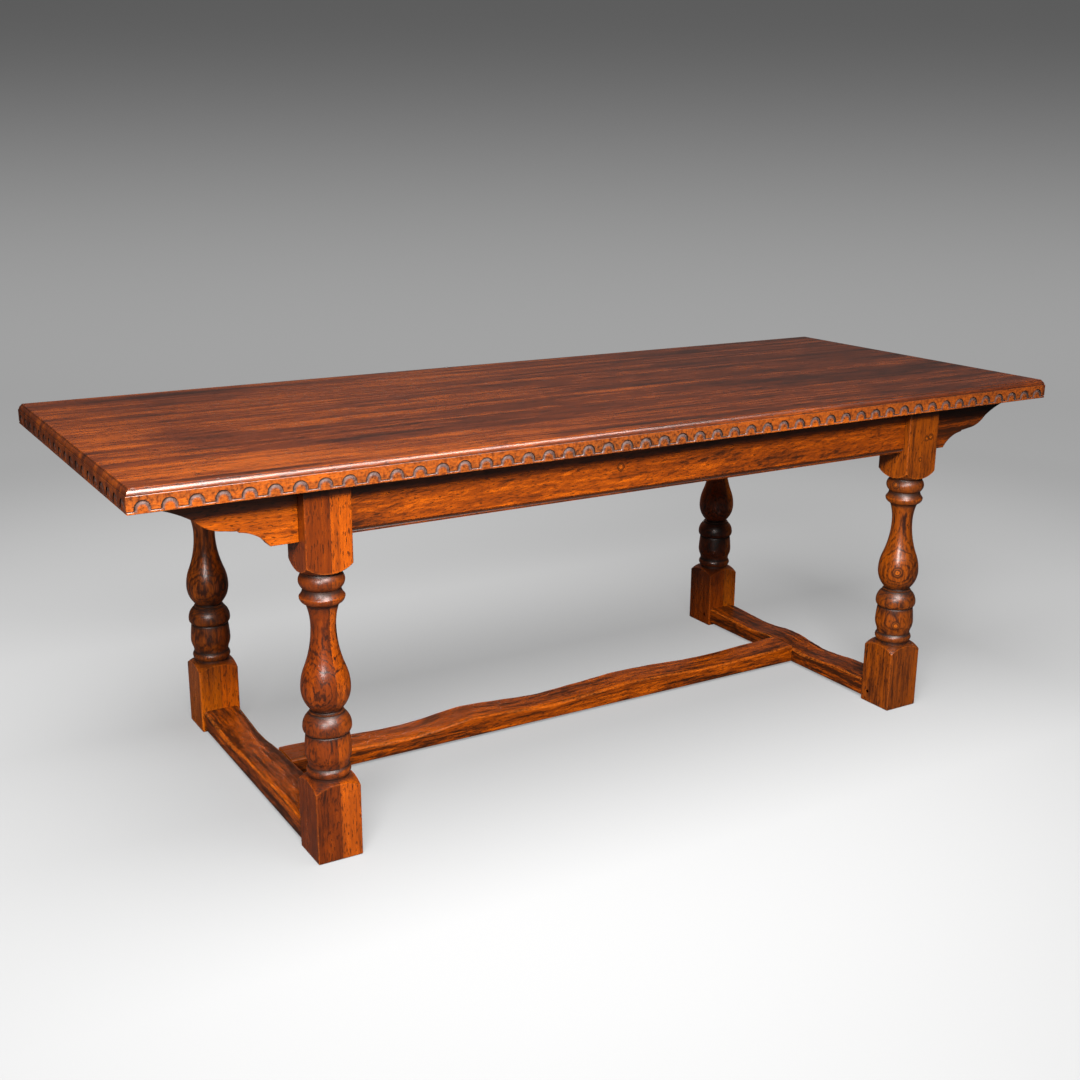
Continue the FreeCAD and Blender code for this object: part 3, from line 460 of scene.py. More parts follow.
def oak_group():
    """Figure of stained oak with its grain along X.

    Its tone adds wide and fine streaks, drawn out along the grain, to patches of uneven stain and
    the wavy flecks of the rays. The rings are thin dark lines at even steps of the distance from a
    far pith, and noise bends them into swirls. Pores are short dark dashes.
    """
    group, wire, given, out = new_group(
        "Oak figure",
        {"Vector": ["Vector"], "Color": ["Pale", "Ground", "Dark"],
         "Float": ["Streaks", "Rings", "Swirl", "Mottle", "Rays", "Thread", "Fine", "Lift"]},
        {"Color": ["Color"], "Float": ["Roughness", "Height"]})
    place = given["Vector"]
    sway = wire.jolt(place, (3.0, 11.0, 11.0), 3.0, (0.0, 0.02, 0.02))
    bent = wire.vector("ADD", place, sway)
    wide = wire.noise(bent, (1.8, 30.0, 30.0), detail=5.0, roughness=0.6)
    fine = wire.noise(bent, (10.0, 150.0, 150.0), detail=5.0, roughness=0.65)
    thread = wire.noise(bent, (2.4, 60.0, 60.0), detail=5.0, roughness=0.65)
    patch = wire.noise(bent, (14.0, 45.0, 45.0), detail=5.0, roughness=0.62)

    across = wire.split(bent)
    reach = wire.math("SQRT", wire.plus(wire.math("POWER", across["Y"], 2.0),
                                        wire.math("POWER", across["Z"], 2.0)))
    swirl = wire.times(wire.noise(place, (14.0, 32.0, 32.0), detail=5.0, roughness=0.6),
                       given["Swirl"])
    phase = wire.plus(wire.times(reach, RINGS_TO_METRE), swirl)
    year = wire.add("ShaderNodeTexWhiteNoise", {"W": wire.math("ROUND", phase)},
                    noise_dimensions="1D").outputs["Value"]
    broken = wire.level(wire.noise(place, (70.0, 190.0, 190.0), detail=2.0), 0.28, 0.52)
    ring = wire.times(wire.level(wire.math("PINGPONG", phase, 0.5), 0.27, 0.03),
                      wire.times(wire.plus(year, 0.3), broken))

    pores = wire.level(wire.noise(place, (80.0, 380.0, 380.0), detail=1.0), 0.575, 0.67)
    dashes = wire.level(wire.noise(bent, (30.0, 210.0, 210.0)), 0.60, 0.70)
    weave = wire.vector("ADD", place, wire.vector("MULTIPLY", sway, (1.0, 2.0, 2.0)))
    weave = wire.add("ShaderNodeMapping", {"Vector": weave, "Rotation": (0.0, 0.22, 0.0)})
    flecks = wire.noise(weave.outputs[0], (30.0, 110.0, 190.0), detail=2.0, distortion=1.5)

    tone = wire.minus(wire.plus(given["Lift"], 0.5), wire.times(ring, given["Rings"]))
    for value, swing, share in ((wide, 2.0, "Streaks"), (fine, 1.0, "Fine"),
                                (wire.level(thread, 0.3, 0.7), 1.0, "Thread"),
                                (patch, 1.8, "Mottle"), (flecks, 2.4, "Rays")):
        swung = wire.times(wire.minus(value, 0.5), swing)
        tone = wire.plus(tone, wire.times(swung, given[share]))
    tint = wire.mix(wire.level(tone, 0.10, 0.50), given["Dark"], given["Ground"])
    tint = wire.mix(wire.level(tone, 0.42, 0.94), tint, given["Pale"])
    shade = wire.math("MAXIMUM", wire.times(pores, 0.75), wire.times(dashes, 0.3))
    wire.feed(out["Color"], wire.mix(shade, tint, given["Dark"]))
    wire.feed(out["Roughness"], wire.minus(0.33, wire.times(tone, 0.10)))
    wire.feed(out["Height"], wire.minus(wire.times(fine, 0.5), wire.times(shade, 0.8)))
    return group


def knot_group():
    """A knot: dark and pale rings by the distance from its heart, with a dark seam round it."""
    group, wire, given, out = new_group(
        "Knot", {"Color": ["Color", "Pale", "Dark"], "Vector": ["Vector", "Heart"],
                 "Float": ["Size"]}, {"Color": ["Color"]})
    wander = wire.minus(wire.noise(given["Vector"], (140.0, 140.0, 140.0), detail=2.0), 0.5)
    away = wire.size(wire.vector("SUBTRACT", given["Vector"], given["Heart"]))
    reach = wire.plus(wire.math("DIVIDE", away, given["Size"]), wire.times(wander, 0.5))
    rings = wire.level(wire.math("PINGPONG", wire.times(reach, 1.6), 0.5), 0.05, 0.4)
    inside = wire.times(wire.level(reach, 1.15, 0.85), 0.85)
    seam = wire.times(wire.level(reach, 0.7, 0.95), wire.level(reach, 1.45, 1.05))
    now = wire.mix(inside, given["Color"], wire.mix(rings, given["Dark"], given["Pale"]))
    wire.feed(out["Color"], wire.mix(wire.times(seam, 0.9), now, given["Dark"]))
    return group


def stain_group():
    """A patch for stains and for painted light and shade: its strength at the heart, fading
    smoothly to nothing at its rim.
    """
    group, wire, given, out = new_group(
        "Stain patch", {"Vector": ["Vector", "Heart", "Spread"], "Float": ["Strength"]},
        {"Float": ["Lift"]})
    away = wire.vector("SUBTRACT", given["Vector"], given["Heart"])
    reach = wire.size(wire.vector("DIVIDE", away, given["Spread"]))
    wire.feed(out["Lift"], wire.times(wire.level(reach, 1.0, 0.1), given["Strength"]))
    return group


def age_group():
    """Dirt and painted shade in hollows, and the rubbed arrises and dull gouged channels of age."""
    group, wire, given, out = new_group(
        "Age", {"Color": ["Color"], "Vector": ["Vector"],
                "Float": ["Roughness", "Dirt_and_shade", "Wear", "Carve"]},
        {"Color": ["Color"], "Float": ["Roughness"]})
    rough = wire.noise(given["Vector"], (160.0, 160.0, 160.0), detail=4.0, roughness=0.7)
    carved = wire.mix(wire.level(rough, 0.3, 0.7), CARVED_DARK, CARVED_PALE)
    now = wire.mix(wire.times(given["Carve"], 0.92), given["Color"], carved)
    rub = wire.times(given["Wear"], wire.level(rough, 0.36, 0.6))
    now = wire.mix(wire.times(rub, 0.6), now, RUBBED)
    # Dirt and painted shade darken the colour towards one near-black brown.
    wire.feed(out["Color"], wire.mix(wire.times(given["Dirt_and_shade"], 0.9), now, DIRT_AND_SHADE))
    dull = wire.math("MULTIPLY", wire.plus(given["Dirt_and_shade"], given["Carve"]), 0.2, clamp=True)
    wire.feed(out["Roughness"], wire.plus(given["Roughness"], dull))
    return group


GROUPS = {"Oak figure": oak_group, "Knot": knot_group, "Stain patch": stain_group,
          "Age": age_group}


def tones(settings, kind=""):
    """Pale, ground and dark of a kind of wood."""
    return [(*getattr(settings, key), 1) for key in (f"{kind}pale", f"{kind}ground", "dark")]


def oak(node, grain, shift, woods, streaks=0.6, rings=0.3, swirl=1.5, mottle=0.4, rays=0.0,
        thread=0.2, fine=0.8, lift=0.0, patches=(), bands=(), figured=None, overhang_shadow=None, shine=0.34):
    """Waxed oak of one node, in its pale, ground and dark woods.

    The shift says which part of the tree it was cut from. The lift makes the wood lighter or
    darker all over, which is painted light and shade on some legs and brackets. Stains are
    patches of (x, y, half length, half width, strength), and bands round a leg make it lighter or
    darker: (height, half spread, strength). Figured is a band where the rings show most, and the
    overhang shadow is painted shade that darkens the wood above a height, under the top's edge.
    """
    material, wire, place = new_material(f"{node}_oak")
    pale, ground, dark = woods
    cut = wire.add("ShaderNodeMapping", {"Vector": place, "Rotation": GRAIN_TURNS[grain],
                                         "Location": shift}).outputs[0]
    patched = lift
    if patches:
        moved = wire.vector("ADD", place, wire.jolt(place, (7.0, 32.0, 32.0), 4.0, (0.2, 0.06, 0)))
    for x, y, half_long, half_wide, strength in patches:
        patched = wire.patched(patched, moved, (x, y, 0), (half_long, half_wide, FAR), strength)
    for height, spread, strength in bands:
        patched = wire.patched(patched, place, (0, 0, height), (FAR, FAR, spread), strength)
    if figured:
        height, spread, strength = figured
        rings = wire.patched(rings, place, (0, 0, height), (FAR, FAR, spread), strength)
    figure = wire.group("Oak figure", {
        "Vector": cut, "Pale": pale, "Ground": ground, "Dark": dark, "Streaks": streaks,
        "Rings": rings, "Swirl": swirl, "Mottle": mottle, "Rays": rays, "Thread": thread,
        "Fine": fine, "Lift": patched})
    tint = figure["Color"]
    for x, y, z, size in KNOTS.get(node, ()):
        tint = wire.group("Knot", {"Color": tint, "Vector": place, "Heart": (x, y, z),
                                   "Size": size, "Pale": pale, "Dark": dark})["Color"]
    marks = {mark: wire.add("ShaderNodeAttribute", attribute_name=mark.lower(),
                            attribute_type="GEOMETRY").outputs["Fac"]
             for mark in ("Dirt_and_shade", "Wear", "Carve")}
    # Painted shade: the overhang shadow darkens the wood above a height, under the top's edge, and
    # joins the dirt and shade mark.
    if overhang_shadow:
        high = wire.times(wire.level(wire.split(place)["Z"], *overhang_shadow), 0.8)
        marks["Dirt_and_shade"] = wire.math("MAXIMUM", marks["Dirt_and_shade"], high)
    age = wire.group("Age", {"Color": tint, "Roughness": figure["Roughness"], "Vector": place,
                             **marks})
    bump = wire.add("ShaderNodeBump", {"Height": figure["Height"], "Strength": 0.3,
                                       "Distance": 0.0005})
    wire.surface({"Base Color": age["Color"], "Roughness": age["Roughness"],
                  "Normal": bump.outputs[0], "Specular IOR Level": shine,
                  "Specular Tint": (1.0, 0.9, 0.86, 1.0)})
    return material


# ---- top

# A small step beside an edge, and rows down the gouged channel as shares of its height.
HAIR = 0.0007
CHANNEL_SHARES = (0.0, 0.025, 0.055, 0.09, 0.14, 0.2, 0.28, 0.38, 0.5, 0.64, 0.8, 1.0)


def lunette_centres(run, count, margin, drift):
    """Centres of the arches along an edge.

    They are evenly spaced, then moved on by a drift that is nothing at both corners and most
    at the middle: 1 less the square of the place from -1 to 1, to the power of one and a half.
    """
    share = np.linspace(-1, 1, count)
    return run / 2 + share * (run / 2 - margin) + drift * (1 - share ** 2) ** 1.5


def edge_columns(centres, half_arch, ends, carved):
    """Columns along a piece of an edge between two ends: places and distances from an arch.

    On a carved piece each lunette repeats the same few columns about its centre, with two close
    together where its outer wall stands. The distance is that to the nearest arch's centre.
    """
    places = np.empty(0)
    if carved:
        gap = 0.00015
        inside = half_arch - np.array([gap, 0.0009, 0.0019, 0.0032, 0.0048, 0.0068, 0.0098])
        outside = half_arch + np.array([gap, 0.0006, 0.0014])
        right = np.concatenate([[0.0], inside[::-1], outside])
        offsets = np.concatenate([-right[:0:-1], right])
        middles = (centres[1:] + centres[:-1]) / 2
        places = np.sort(np.concatenate([middles, (centres[:, None] + offsets).ravel()]))
    between = (places > ends[0] + 1e-5) & (places < ends[1] - 1e-5)
    places = np.concatenate([ends[:1], places[between], ends[1:]])
    return places, np.abs(places[:, None] - centres).min(axis=1)


def channel(settings, apart, inside, drop):
    """How far into the gouged channel a point of the carved face lies.

    Returns 0 at the channel's outer wall, 1 and more on the tongue or the lip. The wall runs up
    each side of an arch, over its crown and along the foot line between two arches; the distance
    from it is divided by the channel's width in that direction.
    """
    half_arch = settings.arch_width / 2
    spring = settings.arch_crown + half_arch
    below_foot = np.maximum(drop - settings.arch_foot, 0.0)
    above_spring = np.maximum(spring - drop, 0.0)
    reach = np.hypot(apart, above_spring)
    rise = above_spring / np.maximum(reach, 1e-9)
    wide = settings.side_wide + (settings.crown_wide - settings.side_wide) * rise ** 2
    in_arch = np.hypot((half_arch - reach) / wide, below_foot / settings.strip_wide)
    return np.where(inside, in_arch, below_foot / settings.strip_wide)


def carved_rows(settings, apart, carved, bottom):
    """Rows of the carved face as (inset, drop, dirt and painted shade, carve, wear), each one value
    to a column.
    """
    half_arch = settings.arch_width / 2
    spring = settings.arch_crown + half_arch
    crown = spring - np.sqrt(np.maximum(half_arch ** 2 - apart ** 2, 0.0))
    inside = apart < half_arch
    wall = np.where(inside, crown, settings.arch_foot)
    beside = (apart - half_arch < HAIR) & ~inside
    flat = np.zeros_like(apart)
    rubbed = flat + settings.face_wear
    rows = [(flat, flat + settings.face_drop + 0.0006, flat, flat, rubbed),
            # Dirt and painted shade: a dark line beside the channel's outer wall, which stands in
            # shade.
            (flat, wall - 0.0012, np.where(beside, 0.4, 0.0), flat, rubbed),
            (flat, wall - 0.0004, np.where(beside, 0.5, 0.25), flat, rubbed),
            (flat, wall, flat + 1.0, flat, flat)]
    for share in CHANNEL_SHARES:
        drop = wall + (bottom - wall) * share
        across = channel(settings, apart, inside, drop)
        deep = 1 - ease(np.clip(across * 1.15 - 0.15, 0.0, 1.0))
        # The channel darkens towards its outer wall: dirt and painted shade.
        dirt_and_shade = np.clip(2.1 - across * 8.0, 0, 1)
        carve = np.clip(4.0 - across * 4.0, 0, 1)
        rows.append((settings.channel_deep * deep, drop, dirt_and_shade, carve, rubbed * (1 - carve)))
    return [(np.where(carved, inset, 0), drop, *(np.where(carved, mark, 0) for mark in marks))
            for inset, drop, *marks in rows]


def moulding_rows(settings):
    """Rows of the moulded edge as (inset, drop, dirt and painted shade): a bead, a quirk, an ovolo
    and a fillet.
    """
    inset, foot = settings.mould_inset, settings.face_drop
    bead = [(inset + 0.0006, 0.0, 0.0), (inset, 0.0, 0.0), (inset - 0.0002, 0.0001, 0.0),
            (inset - 0.0008, 0.0006, 0.0), (inset - 0.0011, 0.0014, 0.1)]
    # Dirt and painted shade: the quirk and the fillet are dark creases.
    quirk = [(inset - 0.0012, 0.0021, 0.9), (inset - 0.0018, 0.0026, 1.0)]
    ovolo = bowed([(inset - 0.0021, 0.0028, -0.0007), (0.0015, 0.0104, 0)], 0.0013)
    fillet = [(0.0015, foot - 0.0003, 1.0), (0.0008, foot, 1.0), (0.0003, foot + 0.0001, 0.3)]
    return bead + quirk + [(x, y, 0.15) for x, y in ovolo] + fillet


def board_columns(low, high, moulded, settings):
    """Columns round a board, one to a row of numbers.

    A row has the start and the stop of the column's side, each with the way that it moves
    inwards, then the share of the way from one to the other, the distance from the nearest
    arch's centre, and whether it is on a carved edge and on a short side of the table.
    """
    (x0, y0), (x1, y1) = low, high
    half_arch = settings.arch_width / 2
    mitre = {y0: 1 if moulded < 0 else 0, y1: -1 if moulded > 0 else 0}
    inward = {x0: 1, x1: -1}
    corners = [(x0, y1), (x0, y0), (x1, y0), (x1, y1)]
    columns = []
    for start, stop in zip(corners, corners[1:] + corners[:1]):
        short = start[0] == stop[0]
        carved = short or mitre[start[1]] != 0
        if short:
            half_run, ends = HALF_WIDE, sorted((start[1], stop[1]))
            centres = lunette_centres(2 * half_run, settings.end_count, settings.end_margin, 0.0)
        else:
            half_run, ends = HALF_LONG, (-HALF_LONG, HALF_LONG)
            centres = lunette_centres(2 * half_run, settings.front_count, settings.front_margin,
                                      settings.hand_drift)
        ends = np.array(ends) + half_run
        places, apart = edge_columns(centres, half_arch, ends, carved)
        share = (places - ends[0]) / (ends[1] - ends[0])
        if short and start[1] > stop[1]:
            share, apart = 1 - share[::-1], apart[::-1]
        side = (*start, inward[start[0]], mitre[start[1]], *stop, inward[stop[0]], mitre[stop[1]])
        columns += [(*side, *place, carved, short) for place in zip(share[:-1], apart[:-1])]
    return np.array(columns, dtype=float)


def board_rings(name, moulded, settings):
    """A board as rings round its outline, from the flat of the top down to its underside.

    A ring's point lies on the line between two corners of its side, and both corners move
    inwards together by the inset of its row: along the mitre at a corner of the table, and
    straight at a joint between boards.
    """
    low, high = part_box(name)
    columns = board_columns((low.x, low.y), (high.x, high.y), moulded, settings)
    start, start_in, stop, stop_in = (columns[:, at:at + 2] for at in (0, 2, 4, 6))
    share, apart, carved, short = columns[:, 8:].T
    share = share[:, None]
    thick = high.z - low.z
    blank = np.zeros_like(apart)
    # Painted shade on the short sides: their moulding and carved face are darkened, and their face
    # is not rubbed pale, as if the light reaches them less.
    painted_end_shade = settings.end_shade * short
    rows = [(blank + inset, blank + drop, np.maximum(dirt_and_shade * 0.9, painted_end_shade * (drop > 0)), blank, blank)
            for inset, drop, dirt_and_shade in moulding_rows(settings)]
    for inset, drop, dirt_and_shade, carve, wear in carved_rows(settings, apart, carved > 0, thick - HAIR):
        rows.append((inset, drop, np.maximum(dirt_and_shade, painted_end_shade), carve, wear * (1 - short)))
    rows.append((blank + 0.0008, blank + thick, blank, blank, blank))
    points = []
    for inset, drop, *_ in rows:
        inset = inset[:, None]
        place = (start + start_in * inset) * (1 - share) + (stop + stop_in * inset) * share
        points.append(np.column_stack([place, high.z - drop]))
    marks = {mark: [row[at] for row in rows] for at, mark in
             enumerate(("dirt_and_shade", "carve", "wear"), 2)}
    return points, marks


class TABLE_OT_top(Operator):
    """Build the four boards of the top, with their moulded and carved edge"""

    bl_idname = "table.top"
    bl_label = "Top"

    def execute(self, context):
        settings = context.scene.table_top
        for name, (moulded, shift) in BOARDS.items():
            wood = oak(name, "x", shift, tones(settings), streaks=0.72, rings=0.15, swirl=2.0,
                       mottle=0.3, thread=0.24, fine=0.5, patches=TOP_STAINS)
            rings, marks = board_rings(name, moulded, settings)
            new_piece(name.replace("board", "plank"), name, rings, wood, marks, sharp=24)
        return {"FINISHED"}


# ---- legs

# Steps along a side of a block, rows on each crown, wear on the crowns' arrises, and rows up
# the foot block and the head block as shares of their height.
BLOCK_STEPS = 16
CROWN_ROWS = 10
ARRIS_WEAR = 0.35
LOW_SHARES = (0.2, 0.4, 0.6, 0.8, 0.94, 0.98)
HIGH_SHARES = (0.02, 0.06, 0.2, 0.4, 0.6, 0.8, 1.0)


def half_outline(half, glue, half_block, arris):
    """Outline of one half of a square block, from one end of its glue line round to the other.

    It runs along a face, round an arris, up the side, round the other arris and back. Returns
    it with the wear of its points, which is on the arrises.
    """
    flat = half_block - arris
    turn = np.linspace(0, math.pi / 2, 5)
    side_y = np.linspace(-flat, flat, BLOCK_STEPS + 1)[1:-1]
    face_x = np.append([glue * half, glue * half + HAIR], np.linspace(glue * half, flat, 9)[1:-1])
    lower = np.column_stack([face_x, np.full_like(face_x, -half_block)])
    quarter = np.column_stack([flat + arris * np.sin(turn), -flat - arris * np.cos(turn)])
    side = np.column_stack([np.full_like(side_y, half_block), side_y])
    half_way = np.concatenate([lower, quarter])
    outline = np.concatenate([half_way, side, half_way[::-1] * (1, -1)])
    wear = np.zeros(len(outline))
    crest = len(lower) + 1
    wear[crest:crest + 3] = wear[-crest - 3:-crest] = 0.25
    return outline * (half, 1), wear


def leg_rings(half, centre, settings, half_block, high):
    """Half of a leg as rings up its height, each from the middle of the glue line outwards.

    A ray from the glue line through each point of the block's outline meets the turned surface
    at the root of a square: the radius squared less the glue line's own offset. Where the ray
    is shorter than the block, the lathe has cut it, and the arris between block and turning
    lies where the two are equal.
    """
    glue, ease_foot = settings.glue_line, settings.foot_ease
    outline, on_arris = half_outline(half, glue, half_block, settings.arris)
    ray = outline - (glue, 0)
    full = np.hypot(*ray.T)
    way = ray / full[:, None]
    corner = np.hypot(*outline.T)
    radius, height = bowed(np.array(TURNING) * MM, TURNING_STEP).T
    foot_crown, head_crown = TURNING[1][1] * MM, TURNING[-2][1] * MM
    foot, head = height <= foot_crown, height >= head_crown - 1e-9
    foot_arris = np.interp(corner, radius[foot][::-1], height[foot][::-1])
    head_arris = np.interp(corner, radius[head], height[head])
    nothing = np.zeros_like(full)

    def turned(level, size, dirt_and_shade, wear):
        """A row on the turning: its level, its reach from the glue line, dirt and painted shade,
        and wear.
        """
        reach = -glue * way[:, 0] + np.sqrt(size ** 2 - (glue * way[:, 1]) ** 2)
        return nothing + level, reach, nothing + dirt_and_shade, nothing + wear

    def crown(zone, quirk, arris, dirt_and_shade, power):
        """Rows on a crown, from the arris of the block to the quirk beside the turning."""
        rows = []
        for near in np.linspace(0, 1, CROWN_ROWS):
            level = arris + (quirk - arris) * near
            size = np.interp(level, height[zone], radius[zone])
            # Dirt and painted shade deepen towards the quirk beside the turning, darkest under the
            # head block.
            rows.append(turned(level, size, dirt_and_shade * near ** power, ARRIS_WEAR * (near == 0)))
        return rows

    rows = [(nothing, full * (1 - ease_foot / half_block), nothing, nothing),
            (nothing + ease_foot, full, nothing, on_arris)]
    for share in LOW_SHARES:
        rows.append((ease_foot + (foot_arris - ease_foot) * share, full, nothing, on_arris))
    rows += crown(foot, foot_crown, foot_arris, 0.75, 1.5)
    middle = ~foot & ~head
    dirt_and_shade, wear = profile_marks(radius, height)
    rows += [turned(*row) for row in
             zip(height[middle], radius[middle], dirt_and_shade[middle], wear[middle])]
    rows += crown(head, head_crown, head_arris, 0.8, 1.2)[::-1]
    for share in HIGH_SHARES:
        rows.append((head_arris + (high - head_arris) * share, full, nothing, on_arris * 0.5))
    points = [np.column_stack([(glue, 0) + way * reach[:, None] + centre, level])
              for level, reach, _, _ in rows]
    seam = nothing.copy()
    seam[[0, -1]] = 0.8
    marks = {"dirt_and_shade": np.maximum([row[2] for row in rows], seam), "wear": [row[3] for row in rows]}
    return points, marks


def profile_marks(radius, height):
    """Dirt and painted shade in the quirks and wear on the crests of a turned profile.

    The radius is compared with its own mean over a window of a few millimetres of height, and
    the thin rings and the bead are darker all over than the long curves between them.
    """
    step, reach = 0.0005, 10
    even = np.arange(height[0], height[-1], step)
    sizes = np.interp(even, height, radius)
    window = np.hanning(2 * reach + 1)
    mean = np.convolve(np.pad(sizes, reach, mode="edge"), window / window.sum(), mode="valid")
    over = np.interp(height, even, sizes - mean)
    ring_stain_and_shade = np.interp(height / MM, *zip(*RING_STAIN_AND_SHADE))
    dirt_and_shade = np.clip(ring_stain_and_shade - over / 0.0009, 0, 1)
    beside = np.maximum(np.append(dirt_and_shade[1:], 0), np.append(0, dirt_and_shade[:-1]))
    return np.maximum(dirt_and_shade, 0.7 * beside), np.clip(over / 0.003, 0, 0.3)


class TABLE_OT_legs(Operator):
    """Build the four turned legs, each from its two glued pieces"""

    bl_idname = "table.legs"
    bl_label = "Legs"

    def execute(self, context):
        settings = context.scene.table_legs
        for place, (corner, side) in enumerate(CORNERS.items()):
            nodes = [f"leg_{corner}_" + ("outer" if half == side else "inner") for half in (-1, 1)]
            low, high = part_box(nodes[0])[0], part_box(nodes[1])[1]
            x, y = (low.x + high.x) / 2, (low.y + high.y) / 2
            *kinds, lift, bands = LEG_WOODS_AND_SHADE[corner]
            for number, (half, node, kind, slot) in enumerate(
                    zip((-1, 1), nodes, kinds, ("leg_oak_red", "leg_oak_gold")), 2 * place + 1):
                shift = (1.7 * number, -y - 0.012 - 0.003 * number, x - 0.02 * half)
                # The overhang shadow is painted shade: it darkens each leg's head above 0.699 m,
                # under the top's edge.
                wood = oak(node, "z", shift, tones(settings, f"{kind}_"), streaks=0.25, rings=0.1,
                           swirl=5.0 if kind == "red" else 3.0, thread=0.12, mottle=0.3,
                           lift=lift, bands=bands, overhang_shadow=(0.699, 0.709),
                           figured=(0.28, 0.22, BULB_RINGS[kind]))
                rings, marks = leg_rings(half, (x, y), settings, (high.x - low.x) / 2, high.z)
                new_piece(node.replace("leg", "turned_leg"), node, rings, wood, marks,
                          sharp=38)
        return {"FINISHED"}


# ---- rails, brackets and stretchers

def rail_section(low, high):
    """Section of a rail, outer face at minus Y: two scratched quirks with a bead between them."""
    outer, inner = -0.0125, 0.0125
    groove_top, groove_low, groove_end = high - 0.010, high - 0.019, inner - 0.009
    quirk = [(0.0, 0.0102), (0.0003, 0.0098), (0.0018, 0.0091), (0.0018, 0.0085)]
    bead = bowed([(0.0008, 0.0081, -0.0012), (0.0008, 0.0033, 0)], 0.0007)
    lower_quirk = [(0.0016, 0.0029), (0.0016, 0.0026), (0.0002, 0.0022)]
    lip = bowed([(0.0, 0.0021, -0.0006), (0.0021, 0.0, 0)], 0.0008)
    moulding = np.concatenate([quirk, bead, lower_quirk, lip]) + (outer, low)
    outline = np.concatenate([[(outer, high)], moulding, [
        (inner - 0.001, low), (inner, low + 0.001), (inner, groove_low), (groove_end, groove_low),
        (groove_end, groove_top), (inner, groove_top), (inner, high)]])
    y, z = outline.T - [[outer], [low]]
    # Dirt and painted shade in the scratched quirks beside the bead.
    return outline, (y > 0.0012) & (y < 0.002) & (z < 0.011) & (z > 0.002)


def turned_about(points, angle, shift):
    """Points turned about the vertical and moved."""
    c, s = math.cos(angle), math.sin(angle)
    x, y, z = np.moveaxis(points, -1, 0)
    return np.stack([x * c - y * s, x * s + y * c, z], axis=-1) + shift


class TABLE_OT_rails(Operator):
    """Build the four rails under the top"""

    bl_idname = "table.rails"
    bl_label = "Rails"

    def execute(self, context):
        settings = context.scene.table_frame
        turns = {"rail_front": 0, "rail_back": math.pi, "rail_left": -math.pi / 2,
                 "rail_right": math.pi / 2}
        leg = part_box("leg_front_right_inner")
        for number, (name, turn) in enumerate(turns.items()):
            low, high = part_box(name)
            long_way = name in ("rail_front", "rail_back")
            section, dirt_and_shade = rail_section(low.z, high.z)
            reach = leg[0].x if long_way else -leg[1].y
            rows = np.array([np.column_stack([np.full(len(section), x), section])
                             for x in np.linspace(-reach, reach, 9)])
            rings = turned_about(rows, turn, ((low.x + high.x) / 2, (low.y + high.y) / 2, 0))
            # The overhang shadow is painted shade: it darkens each rail above 0.689 m, under the
            # top's edge.
            wood = oak(name, "x" if long_way else "y", (2.3 * number, 0.13, -0.62), tones(settings),
                       streaks=0.3, rings=0.12, mottle=0.2, rays=0.34, fine=1.0,
                       overhang_shadow=(0.689, 0.701), patches=RAIL_STAINS.get(name, ()))
            new_piece(name.replace("rail", "beaded_rail"), name, rings, wood,
                      {"dirt_and_shade": [dirt_and_shade] * len(rows)})
        return {"FINISHED"}


def bracket_outline(underside):
    """Outline of a bracket as (out, up): a cove, a fillet, a swelling and a hollow to its nose."""
    steps = [(0, 0, 0), (246, 0, 0), (246, 13, -2.8), (183, 41, 5.8), (130, 65.6, 0.4),
             (109.5, 68.4, 0), (106.5, 71.4, -6.9), (52, 103.5, 0), (0, 103.5, 0), (0, 0, 0)]
    stations = [(out * MM, underside - drop * MM, -bulge * MM) for out, drop, bulge in steps]
    return bowed(stations, 0.004)[:-1]


def drawn_in(outline, amount):
    """A closed outline with every point moved inwards along its own normal."""
    before, after = np.roll(outline, 1, axis=0), np.roll(outline, -1, axis=0)
    way, back = after - outline, outline - before
    both = way / np.hypot(*way.T)[:, None] + back / np.hypot(*back.T)[:, None]
    both /= np.hypot(*both.T)[:, None]
    normal = np.column_stack([-both[:, 1], both[:, 0]])
    area = np.sum(outline[:, 0] * after[:, 1] - after[:, 0] * outline[:, 1])
    return outline + normal * amount * np.sign(area)


class TABLE_OT_brackets(Operator):
    """Build the four shaped brackets under the ends of the top"""

    bl_idname = "table.brackets"
    bl_label = "Brackets"

    def execute(self, context):
        settings = context.scene.table_frame
        for number, (corner, side) in enumerate(CORNERS.items(), 1):
            name = f"bracket_{corner}"
            low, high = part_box(name)
            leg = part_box(f"leg_{corner}_outer")
            start = leg[0].x if side < 0 else leg[1].x
            outline = bracket_outline(high.z)
            inner = drawn_in(outline, settings.edge)
            rings = []
            for shape, y in ((inner, low.y), (outline, low.y + settings.edge),
                             (outline, high.y - settings.edge), (inner, high.y)):
                rings.append(np.column_stack([start + shape[:, 0] * side, np.full(len(shape), y),
                                              shape[:, 1]]))
            # The overhang shadow is painted shade: it darkens each bracket above 0.681 m, under the
            # top's edge.
            wood = oak(name, "x", (1.1 * number, 0.3, -0.5), tones(settings), streaks=0.3,
                       rings=0.12, mottle=0.28, rays=0.12, fine=1.1, overhang_shadow=(0.681, 0.694),
                       lift=BRACKET_LIGHT_AND_SHADE.get(name, 0.0))
            new_piece(name.replace("bracket", "shaped_bracket"), name, rings, wood)
        return {"FINISHED"}


def worn_height(stations, share):
    """Height of a worn top: a smooth step from each station to the next, with slight unevenness."""
    shares, heights = np.array(stations).T
    index = np.clip(np.searchsorted(shares, share, side="right") - 1, 0, len(shares) - 2)
    local = (share - shares[index]) / (shares[index + 1] - shares[index])
    height = heights[index] + (heights[index + 1] - heights[index]) * ease(local)
    uneven = 0.35 * np.sin(share * 61 + 1.3) + 0.25 * np.sin(share * 143 + 0.4)
    return (height + uneven * 4 * share * (1 - share)) * MM


